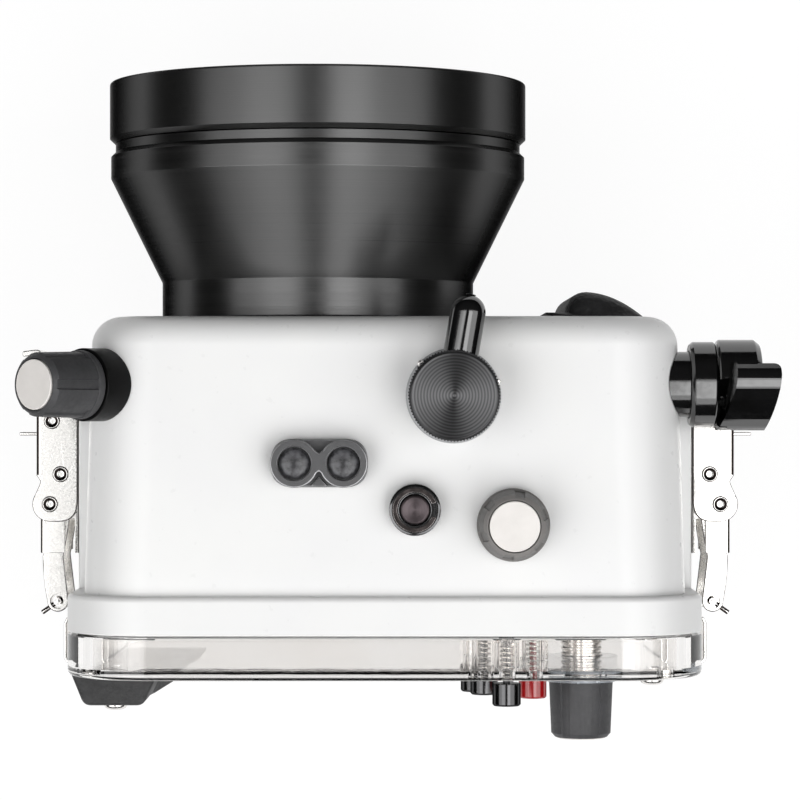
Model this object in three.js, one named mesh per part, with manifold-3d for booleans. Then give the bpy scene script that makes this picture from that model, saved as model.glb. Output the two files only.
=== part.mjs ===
// Underwater camera housing: a moulded shell with a turned metal port, a clear back door held by two
// draw latches, and sealed controls that pass through the walls. Millimetres, +Z up, +Y out of the port.
// The origin is the middle of the flat pad under the shell.
import * as THREE from 'three';
import { mergeVertices } from 'three/addons/utils/BufferGeometryUtils.js';
import Module from 'manifold-3d';

const wasm = await Module();
wasm.setup();

// General clearances and counts
const seatGap = 0.3;
const runningGap = 0.09;
const overrun = 2;
const fineSides = 36;
const midSides = 20;
const smallSides = 12;
const rivetSides = 8;
const cornerSteps = 4;
const quarter = Math.PI / 2;
const degree = Math.PI / 180;

// Shell
const padHeight = 6;
const shellHeight = 120;
const shellFrontWidth = 164;
const shellFlare = 4.6;
const shellRearWidth = shellFrontWidth + shellFlare;
const shellEdgeRadius = 20;
const shellNoseRadius = 8;
const shellFrontY = 43.3;
const shellWall = 4.5;
const shellFrontWall = 6;
const padWidth = 96;
const padFrontY = 39;
const padRearY = -34;
const padCorner = 9;
const padEdge = 1.2;
const axisHeight = padHeight + shellHeight / 2;
const topHeight = padHeight + shellHeight;

// Rear flange of the shell
const flangeSideReach = 4.85;
const flangeTopReach = 3;
const flangeWidth = shellRearWidth + 2 * flangeSideReach;
const flangeHeight = shellHeight + 2 * flangeTopReach;
const flangeCorner = 24;
const flangeFrontY = -34.1;
const flangeRearY = -44.8;
const flangeEdge = 1.4;
const edgeShare = 1 / 3;
const sealInset = 2.6;
const sealWidth = 3;
const sealDepth = 2.2;
const sealLine = 0.7;

// Raised pads that carry the latches
const latchPadRise = 6.3;
const latchPadFace = shellFrontWidth / 2 + latchPadRise;
const latchPadFrontY = 18;
const latchPadHeight = 38;
const latchPadCorner = 7;

// Rails and tray inside the shell
const railWidth = 6;
const railHeight = 5.2;
const railSpacing = 52;
const railFrontY = 30;
const railRearY = -30;
const trayWidth = 84;
const trayThickness = 3;
const trayCorner = 6;
const trayLipHeight = 7;
const trayScrewY = 4;
const trayScrewHead = 7;
const trayScrewHeadHeight = 3.2;
const trayScrewRadius = 3.1;
const trayScrewReach = 5.5;

// Port
const portX = -19.8;
const windowRadius = 54.6;
const portRingWall = 6.35;
const portBandWall = 6;
const portGrooveWall = 4.65;
const portRadius = windowRadius + portRingWall;
const portBandRadius = windowRadius + portBandWall;
const portGrooveRadius = windowRadius + portGrooveWall;
const portNeckRadius = 45.6;
const portSpigotRadius = 43;
const portBoreRadius = 39.5;
const portLedge = 4.1;
const portMouthRadius = windowRadius - portLedge;
const portRimY = 112.4;
const portRingRearY = 95;
const portBandFrontY = 92.2;
const portBandRearY = 84.6;
const portNeckFrontY = 54.2;
const portSpigotRearY = 34.2;
const portChamfer = 0.8;
const portGrooveChamfer = 1.3;
const portLipReach = 2.3;
const portLipRadius = windowRadius - portLipReach;
const portLipDepth = 3.4;
const windowThickness = 6;
const portSealRadius = 0.7;
const portSealY = 39;

// Threaded insert in the pad
const insertRadius = 5;
const insertBore = 3.2;
const insertLength = 5.2;
const insertY = 22;

// Front finger grip
const gripInset = 9.2;
const gripWidth = 27.4;
const gripHumpReach = 5.4;
const gripPeakReach = 11.4;
const gripRightX = shellFrontWidth / 2 - gripInset;
const gripLeftX = gripRightX - gripWidth;
const gripHumpLeftX = gripLeftX + gripHumpReach;
const gripPeakX = gripLeftX + gripPeakReach;
const gripPlate = 1.1;
const gripPeak = 6.9;
const gripHeightShare = 0.683;
const gripHeight = shellHeight * gripHeightShare;
const gripRaise = 4;
const gripCentreZ = axisHeight + gripRaise;
const gripCorner = 6;

// Twin socket block
const socketX = -17.85;
const socketY = 2.7;
const socketSpacing = 13.42;
const socketLobeRadius = 6.63;
const socketHoleRadius = 4.58;
const socketPlateHeight = 2.2;
const socketBlockHeight = 6.8;
const socketHoleDepth = 3.2;
const socketNotchFront = 3.9;
const socketNotchRear = 2.9;
const socketNotchWidth = 1.3;
const socketWindowRadius = 4.17;
const socketWindowDome = 1.1;
const socketWindowBase = 1;
const domeShares = [[1, 0], [0.8, 0.55], [0.4, 0.92], [0, 1]];

// Shutter control on the right side
const shutterY = 24.3;
const shutterDrop = 17.4;
const shutterZ = topHeight - shutterDrop;
const shutterGlandRadius = 9.25;
const shutterGlandRise = 5;
const shutterGlandFace = shellFrontWidth / 2 + shutterGlandRise;
const shutterGlandStem = 6;
const shutterStemLength = 14;
const shutterStemEnd = shutterGlandFace - shutterStemLength;
const shutterShaftRadius = 2.5;
const shutterCollarRadius = 12;
const shutterCollarLap = 1.8;
const shutterCollarReach = 5.5;
const shutterCollarX = shutterGlandFace - shutterCollarLap;
const shutterCollarEnd = shutterGlandFace + shutterCollarReach;
const shutterHubRadius = 12.6;
const shutterHubLength = 12.1;
const shutterHubEnd = shutterCollarEnd + seatGap + shutterHubLength;
const shutterPaddleReach = 13.6;
const shutterPaddleRoom = 0.6;
const shutterPaddleFootWidth = 11.3;
const shutterPaddleTopWidth = 12.4;
const shutterPaddleLean = 4.5;
const shutterPaddleBow = 0.5;
const shutterPaddleInnerFoot = shutterCollarEnd + shutterPaddleRoom;
const shutterPaddleOuterFoot = shutterPaddleInnerFoot + shutterPaddleFootWidth;
const shutterPaddleInnerTop = shutterPaddleInnerFoot + shutterPaddleLean;
const shutterPaddleOuterTop = shutterPaddleInnerTop + shutterPaddleTopWidth;
const shutterPaddleFrontY = 30.2;
const shutterPaddleRearY = 11.5;
const shutterScoopDepth = 4.6;
const shutterScoopRadius = 9.5;
const shutterScoopRoom = 3.1;
const shutterScoopX = shutterCollarEnd + shutterScoopRoom;
const shutterScoopY = 21.4;
const shutterShaftSunk = 12;
const shutterShaftEnd = shutterStemEnd - shutterShaftSunk;
const shutterArmRoom = 1;
const shutterArmX = shutterShaftEnd + shutterArmRoom;
const shutterArmWidth = 4;
const shutterArmHub = 5;
const shutterArmLength = 15;
const shutterArmTip = 2.6;

// Tilted control at the left edge
const tiltInset = 4.9;
const tiltX = tiltInset - shellFrontWidth / 2;
const tiltY = 24.2;
const tiltDrop = 7.8;
const tiltZ = topHeight - tiltDrop;
const tiltAngle = 50;
const tiltGlandRadius = 10.1;
const tiltGlandLength = 9.2;
const tiltGlandStem = 5;
const tiltGlandSunk = 17;
const tiltShaftRadius = 2.5;
const tiltShaftSunk = 25;
const tiltWheelRadius = 5.5;
const tiltWheelWidth = 4;

// Control knobs, one moulding in three lengths
const knobGrooves = 6;
const knobGrooveDepth = 0.5;
const knobRingHeight = 2.1;
const knobRingStep = 0.35;
const knobEdge = 1.2;
const knobInsertProud = 0.35;
const knobInsertThickness = 1.3;
const knobSocketShare = 0.55;
const knobGrooveShares = [1, 1, 1, 0, 0];
const leftKnobBase = 9.5;
const leftKnobTip = 8.75;
const leftKnobLength = 17.9;
const leftInsertRadius = 6.85;
const dialBase = 10.05;
const dialTip = 8.5;
const dialLength = 12.6;
const dialInsertRadius = 6.86;
const rearKnobBase = 9.45;
const rearKnobTip = 8.8;
const rearKnobLength = 21.2;
const rearInsertRadius = 7.1;

// Top lever
const leverX = 18.95;
const leverY = 21.2;
const leverFlangeRadius = 13.1;
const leverFlangeHeight = 3;
const leverStemRadius = 5;
const leverStemSunk = 9;
const leverArmRadius = 4.85;
const leverArmCentreHeight = 8.5;
const leverArmLength = 27.8;
const leverArmAngle = 9.6;
const leverHubRadius = 9.2;
const leverDiscRadius = 12.54;
const leverDiscThickness = 5;
const leverDiscTeeth = 24;
const leverToothDepth = 0.45;
const leverDiscEdge = 0.9;
const leverShaftRadius = 2.5;
const leverShaftSunk = 17;
const leverForkLength = 12;
const leverForkWidth = 5;
const leverForkThickness = 2.4;
const stopPinRadius = 0.9;
const stopPinHeight = 7.6;
const stopPinOffset = 12.6;
const stopPinAngles = [55.5, -62.8];

// Top push button
const buttonX = 8.4;
const buttonY = -10.05;
const buttonGuardRadius = 7.07;
const buttonGuardHeight = 5.2;
const buttonCapRadius = 4.04;
const buttonCapSunk = 1.1;
const buttonCapThickness = 2;
const buttonTravel = 3;
const buttonStemRadius = 5.6;
const buttonStemSunk = 9;
const buttonShaftRadius = 1.5;
const buttonShaftSunk = 13;
const buttonTipRadius = 2.6;
const buttonTipHeight = 1.6;
const clipOuterRadius = 6.1;
const clipInnerRadius = 4.9;
const clipThickness = 0.7;
const clipGapAngle = 40;
const clipRecess = 1;

// Mode dial
const dialX = 35.35;
const dialY = -14.2;
const dialGlandRadius = 7.2;
const dialGlandHeight = 1.6;
const dialStemRadius = 5;
const dialStemSunk = 9;
const dialShaftRadius = 2.5;
const dialShaftSunk = 15;
const dialWheelRadius = 8;
const dialWheelThickness = 3.4;

// Back door
const doorRearY = -57.1;
const doorFrontY = flangeRearY - sealLine;
const doorRim = 7;
const doorPlate = 4;
const doorEdge = 1.6;
const bossRadius = 4.4;
const bossFrontY = -46.2;
const springBoreRadius = 2.35;
const springFloorY = -47.8;
const rearButtonPlaces = [[26.2, -2], [28.8, 7.7], [34.2, 41.7], [42.5, 18.6]]
  .map(([x, rise]) => [x, axisHeight + rise]);
const rearCapRadius = 4;
const rearCapRearY = -65.8;
const rearButtonTravel = 2;
const rearShaftRadius = 1;
const rearTipRadius = 2.2;
const rearTipLength = 2.4;
const springWire = 0.25;
const springCoilRadius = 1.72;
const springCurls = 6;
const springStepsPerCurl = 8;
const springSides = 5;

// Rear knob and its gland
const rearKnobInset = 31.65;
const rearKnobX = flangeWidth / 2 - rearKnobInset;
const rearKnobZ = axisHeight;
const guardOuterRadius = 10.9;
const guardInnerRadius = 9.9;
const guardLength = 5.4;
const rearGlandRadius = 6;
const rearGlandFrontY = -43.2;
const rearGlandFlange = 7.4;
const rearGlandFlangeLength = 2;
const rearGlandThreads = 9;
const threadRootShare = 0.5;
const rearGlandThreadDepth = 0.45;
const rearGlandSides = 16;
const rearBossRadius = 9;
const rearShaft = 2.5;
const rearShaftFrontY = -41;

// Thumb rest and screws on the door
const thumbInset = 0.95;
const thumbBaseWidth = 24.2;
const thumbLeftSlope = 3.5;
const thumbRightSlope = 4;
const thumbBaseLeft = thumbInset - flangeWidth / 2;
const thumbBaseRight = thumbBaseLeft + thumbBaseWidth;
const thumbFaceLeft = thumbBaseLeft + thumbLeftSlope;
const thumbFaceRight = thumbBaseRight - thumbRightSlope;
const thumbDepth = 8.6;
const thumbCorner = 2.2;
const thumbWingReach = 9.9;
const thumbWingSlope = 9;
const thumbWingShare = 0.52;
const thumbTopDrop = 20;
const thumbLowShare = 0.225;
const thumbLow = padHeight + shellHeight * thumbLowShare;
const thumbHigh = topHeight - thumbTopDrop;
const thumbWingTop = thumbLow + (thumbHigh - thumbLow) * thumbWingShare;
const screwHeadRadius = 3.3;
const screwHeadHeight = 1.5;
const screwShankRadius = 1.6;
const screwCrownShares = [[0.9, 0.7], [0.5, 1], [0, 1]];
const thumbScrewInset = 11.9;
const thumbScrewX = thumbBaseLeft + thumbScrewInset;
const thumbScrewDrop = 7;
const thumbScrewZ = thumbHigh - thumbScrewDrop;
const thumbScrewReach = 9.8;
const doorScrewInset = 14.15;
const doorScrewX = flangeWidth / 2 - doorScrewInset;
const doorScrewDrop = 18;
const doorScrewZ = topHeight - doorScrewDrop;
const doorScrewWasher = 3.8;
const doorScrewWasherHeight = 1;
const doorScrewReach = 2.4;

// Draw latches, measured outward from the pad face
const steel = 1.1;
const leverPlateZ = 12.1;
const earPlateZ = 10.7;
const linkPlateZ = 9.3;
const basePivot = [8.9, -10.2];
const linkPivot = [5.8, -1.5];
const lockPivot = [8.3, 13.9];
const linkEnd = [6.9, -38.5];
const baseFrontY = 16;
const earRearY = -24.4;
const earOuter = 11.8;
const earInner = 1.5;
const earNoseRadius = 6.6;
const earNoseSteps = 4;
const earRootOut = 4.7;
const earRootY = -14.5;
const leverInner = 0.9;
const leverOuter = 12.9;
const leverWebFrom = 3.6;
const leverFrontY = 30;
const leverTailRadius = 5.1;
const leverTabReach = 4.4;
const leverTabRise = 4.6;
const leverTabHalfHeight = 9;
const leverTailEnd = 0.55;
const leverNotchRadius = 1.9;
const leverNotchY = -3.6;
const rivetRadius = 1.5;
const rivetHeadRadius = 2.35;
const rivetHeadHeight = 0.6;
const rivetCrownShare = 0.6;
const rivetHoleRadius = (rivetRadius + runningGap) / Math.cos(Math.PI / rivetSides);
const linkEyeRadius = 2.5;
const linkEndRadius = 3.1;
const linkInner = 5.3;
const linkOuter = 11.3;
const linkBellyY = -25.5;
const linkNeckY = -10.2;
const linkNeckInner = 2.2;
const linkNeckOuter = 6.9;
const linkSpineFrom = -13.5;
const linkSpineTo = -34;
const linkPegLength = 2.6;
const linkPegRadius = 0.7;
const linkPegAngle = 36;
const lockHalfHeight = 5;
const lockEyeRadius = 2.7;
const lockTabThickness = 1;
const lockTabY = 10.1;
const lockTabOuter = 18.7;
const lockSlotRoom = 2.4;

// Keepers on the door
const keeperHalfHeight = 11;
const keeperThickness = 0.9;
const keeperReach = 4.25;
const keeperOuter = flangeWidth / 2 + keeperReach;
const keeperFootY = -48;
const keeperBendY = -54.6;
const keeperFrontY = -44.9;
const keeperLipReach = 0.8;
const keeperLipRise = 1.7;

// Materials
const material = (color, roughness, metalness) => new THREE.MeshStandardMaterial({
  color, roughness, metalness,
});
const whitePlastic = () => material(0xf2f2f1, 0.25, 0);
const blackAluminium = () => material(0x1d1d1f, 0.4, 0.7);
const blackGloss = () => material(0x101010, 0.2, 0.1);
const knobPlastic = () => material(0x2c2c2e, 0.55, 0);
const paleInsert = () => material(0xe4e0dc, 0.6, 0);
const stainless = () => material(0xc9c7c4, 0.3, 1);
const rubber = () => material(0x161616, 0.8, 0);
const redAluminium = () => material(0xc0101c, 0.3, 0.7);
const brassMetal = () => material(0xb89a55, 0.35, 1);
const clearPlastic = () => {
  const clear = material(0xf3f1ee, 0.08, 0);
  clear.transparent = true;
  clear.opacity = 0.35;
  return clear;
};

// Mesh helpers: every piece ends as one closed mesh that faces outward
function enclosedVolume(position, index) {
  let sum = 0;
  const a = new THREE.Vector3();
  const b = new THREE.Vector3();
  const c = new THREE.Vector3();
  for (let i = 0; i < index.length; i += 3) {
    a.fromBufferAttribute(position, index[i]);
    b.fromBufferAttribute(position, index[i + 1]);
    c.fromBufferAttribute(position, index[i + 2]);
    sum += a.dot(b.cross(c));
  }
  return sum;
}

function closed(geometry) {
  const bare = new THREE.BufferGeometry();
  bare.setAttribute('position', geometry.getAttribute('position').clone());
  if (geometry.index) bare.setIndex([...geometry.index.array]);
  const merged = mergeVertices(bare);
  const position = merged.getAttribute('position');
  const kept = [];
  for (let i = 0; i < merged.index.count; i += 3) {
    const [a, b, c] = [0, 1, 2].map((k) => merged.index.getX(i + k));
    if (a !== b && b !== c && a !== c) kept.push(a, b, c);
  }
  if (enclosedVolume(position, kept) < 0) kept.reverse();
  const result = new THREE.BufferGeometry();
  result.setAttribute('position', position);
  result.setIndex(kept);
  return result;
}

function moved(geometry, x, y, z) {
  return geometry.clone().translate(x, y, z);
}

function toSolid(geometry) {
  const shape = closed(geometry);
  return new wasm.Manifold(new wasm.Mesh({
    numProp: 3,
    vertProperties: new Float32Array(shape.getAttribute('position').array),
    triVerts: new Uint32Array(shape.index.array),
  }));
}

function toGeometry(solid) {
  const mesh = solid.getMesh();
  const geometry = new THREE.BufferGeometry();
  const points = new Float32Array(mesh.vertProperties);
  geometry.setAttribute('position', new THREE.BufferAttribute(points, mesh.numProp));
  geometry.setIndex([...mesh.triVerts]);
  return geometry;
}

function join(...pieces) {
  return toGeometry(pieces.map(toSolid).reduce((whole, next) => whole.add(next)));
}

function cut(base, ...tools) {
  return toGeometry(tools.map(toSolid).reduce((whole, tool) => whole.subtract(tool), toSolid(base)));
}

function common(one, other) {
  return toGeometry(toSolid(one).intersect(toSolid(other)));
}

function piece(name, look, geometry, x = 0, y = 0, z = 0) {
  const mesh = new THREE.Mesh(closed(geometry), look);
  mesh.name = name;
  mesh.position.set(x, y, z);
  return mesh;
}

// Revolved shape about +Z from [radius, height] points
function turned(points, sides = midSides) {
  const profile = points.map(([r, z]) => new THREE.Vector2(r, z));
  const first = points[0];
  const last = points[points.length - 1];
  const onAxis = first[0] === 0 && last[0] === 0;
  if (!onAxis) profile.push(profile[0].clone());
  return closed(new THREE.LatheGeometry(profile, sides).rotateX(quarter));
}

function rod(radius, from, to, sides = midSides) {
  return turned([[0, from], [radius, from], [radius, to], [0, to]], sides);
}

function tube(outer, inner, from, to, sides = midSides) {
  return turned([[inner, from], [outer, from], [outer, to], [inner, to]], sides);
}

// Straight shape between two heights from a list of outline points or a ready Shape
function slab(outline, from, to, curveSegments = cornerSteps) {
  const shape = Array.isArray(outline)
    ? new THREE.Shape(outline.map(([x, y]) => new THREE.Vector2(x, y)))
    : outline;
  return closed(new THREE.ExtrudeGeometry(shape, { depth: to - from, bevelEnabled: false, curveSegments })
    .translate(0, 0, from));
}

function block(x0, x1, y0, y1, z0, z1) {
  return new THREE.BoxGeometry(x1 - x0, y1 - y0, z1 - z0)
    .translate((x0 + x1) / 2, (y0 + y1) / 2, (z0 + z1) / 2);
}

function roundedOutline(x0, x1, y0, y1, radius) {
  const shape = new THREE.Shape();
  shape.moveTo(x0 + radius, y0);
  shape.lineTo(x1 - radius, y0);
  shape.absarc(x1 - radius, y0 + radius, radius, -quarter, 0, false);
  shape.lineTo(x1, y1 - radius);
  shape.absarc(x1 - radius, y1 - radius, radius, 0, quarter, false);
  shape.lineTo(x0 + radius, y1);
  shape.absarc(x0 + radius, y1 - radius, radius, quarter, Math.PI, false);
  shape.lineTo(x0, y0 + radius);
  shape.absarc(x0 + radius, y0 + radius, radius, Math.PI, 3 * quarter, false);
  return shape;
}

// Ring of points in the XZ plane: a rectangle with round corners, about a centre height
function sectionRing(y, width, height, radius, centreZ = axisHeight) {
  const ring = [];
  const corners = [[1, 1, 0], [-1, 1, 1], [-1, -1, 2], [1, -1, 3]];
  for (const [sx, sz, turn] of corners) {
    const cx = sx * (width / 2 - radius);
    const cz = centreZ + sz * (height / 2 - radius);
    for (let i = 0; i <= cornerSteps; i += 1) {
      const angle = (turn + i / cornerSteps) * quarter;
      ring.push(new THREE.Vector3(cx + radius * Math.cos(angle), y, cz + radius * Math.sin(angle)));
    }
  }
  return ring;
}

// Skin through rings that all have the same number of points, closed by a fan at each end
function lofted(rings) {
  const count = rings[0].length;
  const points = rings.flat();
  const faces = [];
  for (let r = 0; r < rings.length - 1; r += 1) {
    for (let i = 0; i < count; i += 1) {
      const next = (i + 1) % count;
      const a = r * count + i;
      const b = r * count + next;
      const c = (r + 1) * count + i;
      const d = (r + 1) * count + next;
      faces.push(a, b, d, a, d, c);
    }
  }
  const addCap = (ring, start, flip) => {
    const centre = ring.reduce((sum, p) => sum.add(p), new THREE.Vector3()).divideScalar(ring.length);
    const hub = points.push(centre) - 1;
    for (let i = 0; i < count; i += 1) {
      const next = (i + 1) % count;
      faces.push(...(flip ? [hub, start + next, start + i] : [hub, start + i, start + next]));
    }
  };
  addCap(rings[0], 0, true);
  addCap(rings[rings.length - 1], (rings.length - 1) * count, false);
  const geometry = new THREE.BufferGeometry().setFromPoints(points);
  geometry.setIndex(faces);
  return closed(geometry);
}

// Outer form of the shell ahead of its flange, grown on every side by one amount
function shellForm(grow = 0) {
  const rings = [];
  const rearY = flangeFrontY - overrun;
  for (let i = 0; i <= cornerSteps; i += 1) {
    const angle = (i / cornerSteps) * quarter;
    const inset = shellNoseRadius * (1 - Math.sin(angle));
    const y = shellFrontY - shellNoseRadius * (1 - Math.cos(angle));
    rings.push(shellRing(y + grow, inset - grow));
  }
  rings.push(shellRing(rearY, -grow));
  return lofted(rings);
}

function shellWidthAt(y) {
  const share = (shellFrontY - y) / (shellFrontY - flangeFrontY);
  return shellFrontWidth + share * (shellRearWidth - shellFrontWidth);
}

function shellRing(y, inset) {
  const width = shellWidthAt(y) - 2 * inset;
  return sectionRing(y, width, shellHeight - 2 * inset, shellEdgeRadius - inset);
}

function flangeRing(y, inset) {
  return sectionRing(y, flangeWidth - 2 * inset, flangeHeight - 2 * inset, flangeCorner - inset);
}

function flangeForm() {
  return lofted([
    flangeRing(flangeFrontY, flangeEdge),
    flangeRing(flangeFrontY - flangeEdge * edgeShare, flangeEdge * edgeShare),
    flangeRing(flangeFrontY - flangeEdge, 0),
    flangeRing(flangeRearY, 0),
  ]);
}

function cavityForm() {
  const ringAt = (y, inset) => sectionRing(y, shellWidthAt(y) - 2 * inset, shellHeight - 2 * inset,
    shellEdgeRadius - shellWall);
  return lofted([
    ringAt(shellFrontY - shellFrontWall, shellWall + padEdge),
    ringAt(shellFrontY - shellFrontWall - padEdge, shellWall),
    ringAt(flangeRearY - overrun, shellWall),
  ]);
}

// Hollow bar that follows the flange outline, between two insets and two places along Y
function flangeBand(outerInset, innerInset, fromY, toY, extra = 0) {
  const outer = lofted([flangeRing(fromY, outerInset), flangeRing(toY, outerInset)]);
  const reach = Math.sign(toY - fromY) * (overrun + extra);
  const inner = lofted([flangeRing(fromY - reach, innerInset), flangeRing(toY + reach, innerInset)]);
  return cut(outer, inner);
}

function alongY(geometry) {
  return geometry.rotateX(-quarter);
}

function alongX(geometry) {
  return geometry.rotateY(quarter);
}

function onTilt(geometry) {
  return geometry.rotateY((tiltAngle - 90) * degree).translate(tiltX, tiltY, tiltZ);
}

function latchPad(side) {
  const half = latchPadHeight / 2;
  const outline = roundedOutline(flangeRearY + overrun, latchPadFrontY, -half, half, latchPadCorner);
  const depth = latchPadFace - shellFrontWidth / 2 + shellWall / 2;
  return slab(outline, latchPadFace - depth, latchPadFace).applyMatrix4(new THREE.Matrix4().makeBasis(
    new THREE.Vector3(0, 1, 0), new THREE.Vector3(0, 0, 1), new THREE.Vector3(side, 0, 0)))
    .translate(0, 0, axisHeight);
}

function basePad() {
  const ringAt = (z, inset) => {
    const outline = roundedOutline(-padWidth / 2 + inset, padWidth / 2 - inset, padRearY + inset,
      padFrontY - inset, padCorner - inset);
    const points = outline.extractPoints(cornerSteps).shape;
    return points.map((p) => new THREE.Vector3(p.x, p.y, z));
  };
  return lofted([ringAt(0, padEdge), ringAt(padEdge, 0), ringAt(padHeight + shellWall / 2, 0)]);
}

function housingBody() {
  const floor = padHeight + shellWall;
  const rails = [-1, 1].map((side) => {
    const middle = side * railSpacing / 2;
    return block(middle - railWidth / 2, middle + railWidth / 2, railRearY, railFrontY, floor - overrun,
      floor + railHeight);
  });
  const shell = cut(join(shellForm(), flangeForm(), latchPad(-1), latchPad(1), basePad()), cavityForm());
  const holes = [
    alongY(rod(portSpigotRadius + seatGap, 0, shellFrontWall + 2 * overrun, fineSides))
      .translate(portX, shellFrontY - shellFrontWall - overrun, axisHeight),
    alongX(rod(shutterGlandStem + seatGap, shutterStemEnd, shutterCollarX)).translate(0, shutterY, shutterZ),
    onTilt(rod(tiltGlandStem + seatGap, -tiltGlandSunk - overrun, tiltGlandLength)),
    topHole(leverX, leverY, leverStemRadius),
    topHole(buttonX, buttonY, buttonStemRadius),
    topHole(dialX, dialY, dialStemRadius),
    moved(rod(insertRadius + seatGap, -overrun, insertLength + seatGap), 0, insertY, 0),
    flangeBand(sealInset, sealInset + sealWidth, flangeRearY - overrun, flangeRearY + sealDepth),
  ];
  return piece('housing_body', whitePlastic(), cut(join(shell, ...rails), ...holes));
}

function topHole(x, y, stemRadius) {
  return moved(rod(stemRadius + seatGap, -shellWall - overrun, overrun), x, y, topHeight);
}

function doorSeal() {
  const slack = seatGap / 2;
  const seal = flangeBand(sealInset + slack, sealInset + sealWidth - slack, flangeRearY + sealDepth - slack,
    doorFrontY + seatGap);
  return piece('door_seal', rubber(), seal);
}

// Port pieces are turned about +Z and their group lays them along +Y
function port() {
  const group = new THREE.Group();
  group.position.set(portX, 0, axisHeight);
  group.rotation.x = -quarter;
  const shoulder = shellFrontY + seatGap;
  const windowFront = portRimY - portLipDepth - seatGap;
  const windowRear = windowFront - windowThickness;
  const spigotTop = windowRear - seatGap;
  const barrel = turned([
    [portBoreRadius, portSpigotRearY],
    [portSpigotRadius, portSpigotRearY],
    [portSpigotRadius, portSealY - 2 * portSealRadius],
    [portSpigotRadius - 2 * portSealRadius, portSealY - 2 * portSealRadius],
    [portSpigotRadius - 2 * portSealRadius, portSealY + 2 * portSealRadius],
    [portSpigotRadius, portSealY + 2 * portSealRadius],
    [portSpigotRadius, shoulder],
    [portNeckRadius, shoulder],
    [portNeckRadius, portNeckFrontY],
    [portBandRadius, portBandRearY],
    [portBandRadius, portBandFrontY - portGrooveChamfer],
    [portGrooveRadius, portBandFrontY],
    [portGrooveRadius, portRingRearY - seatGap],
    [windowRadius, portRingRearY - seatGap],
    [windowRadius, spigotTop],
    [portMouthRadius, spigotTop],
    [portMouthRadius, portBandRearY],
    [portBoreRadius, portNeckFrontY],
  ], fineSides);
  group.add(piece('port_barrel', blackAluminium(), barrel));
  const ring = turned([
    [windowRadius + seatGap, portRingRearY],
    [portGrooveRadius + seatGap, portRingRearY],
    [portRadius, portRingRearY + portGrooveChamfer],
    [portRadius, portRimY - portChamfer],
    [portRadius - portChamfer, portRimY],
    [portLipRadius + portLipDepth / 2, portRimY],
    [portLipRadius, portRimY - portLipDepth / 2],
    [portLipRadius, portRimY - portLipDepth],
    [windowRadius + seatGap, portRimY - portLipDepth],
  ], fineSides);
  group.add(piece('port_front_ring', blackAluminium(), ring));
  group.add(piece('port_window', clearPlastic(), rod(windowRadius, windowRear, windowFront, fineSides)));
  const sealCentre = portSpigotRadius + seatGap / 2 - portSealRadius;
  const seal = turned([
    [sealCentre - portSealRadius, 0],
    [sealCentre, -portSealRadius],
    [sealCentre + portSealRadius, 0],
    [sealCentre, portSealRadius],
  ], fineSides);
  group.add(piece('port_seal', rubber(), seal, 0, 0, portSealY));
  return group;
}

function threadedInsert() {
  const sleeve = tube(insertRadius, insertBore, seatGap, insertLength, smallSides);
  return piece('tripod_insert', brassMetal(), sleeve, 0, insertY, 0);
}

function cameraTray() {
  const low = padHeight + shellWall + railHeight + seatGap;
  const high = low + trayThickness;
  const half = trayWidth / 2;
  const plate = slab(roundedOutline(-half, half, railRearY, railFrontY, trayCorner), low, high);
  const lip = block(-half + trayCorner, half - trayCorner, railRearY, railRearY + trayThickness, low,
    high + trayLipHeight);
  const bore = rod(trayScrewRadius + seatGap, low - overrun, high + overrun, smallSides);
  const hole = moved(bore, 0, trayScrewY, 0);
  const screw = turned([
    [0, low - seatGap - trayScrewHeadHeight],
    [trayScrewHead, low - seatGap - trayScrewHeadHeight],
    [trayScrewHead, low - seatGap],
    [trayScrewRadius, low - seatGap],
    [trayScrewRadius, high + trayScrewReach],
    [0, high + trayScrewReach],
  ], smallSides);
  return [
    piece('camera_tray', blackAluminium(), cut(join(plate, lip), hole)),
    piece('camera_screw', stainless(), screw, 0, trayScrewY, 0),
  ];
}

// Hump drawn in plan, stretched up the front face and rounded at its corners
function frontGrip() {
  const back = shellFrontY + seatGap;
  const hump = new THREE.Shape();
  hump.moveTo(gripLeftX, back);
  hump.lineTo(gripRightX, back);
  hump.quadraticCurveTo((gripPeakX + gripRightX) / 2, back + gripPeak, gripPeakX, back + gripPeak);
  hump.quadraticCurveTo(gripHumpLeftX + gripPlate, back + gripPeak, gripHumpLeftX, back + gripPlate);
  hump.lineTo(gripLeftX, back + gripPlate);
  const low = gripCentreZ - gripHeight / 2;
  const high = gripCentreZ + gripHeight / 2;
  const body = slab(hump, low, high);
  const outline = roundedOutline(gripLeftX, gripRightX, -high, -low, gripCorner);
  const face = slab(outline, back - overrun, back + gripPeak + overrun);
  return piece('front_grip', rubber(), common(body, alongY(face)));
}

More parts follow.
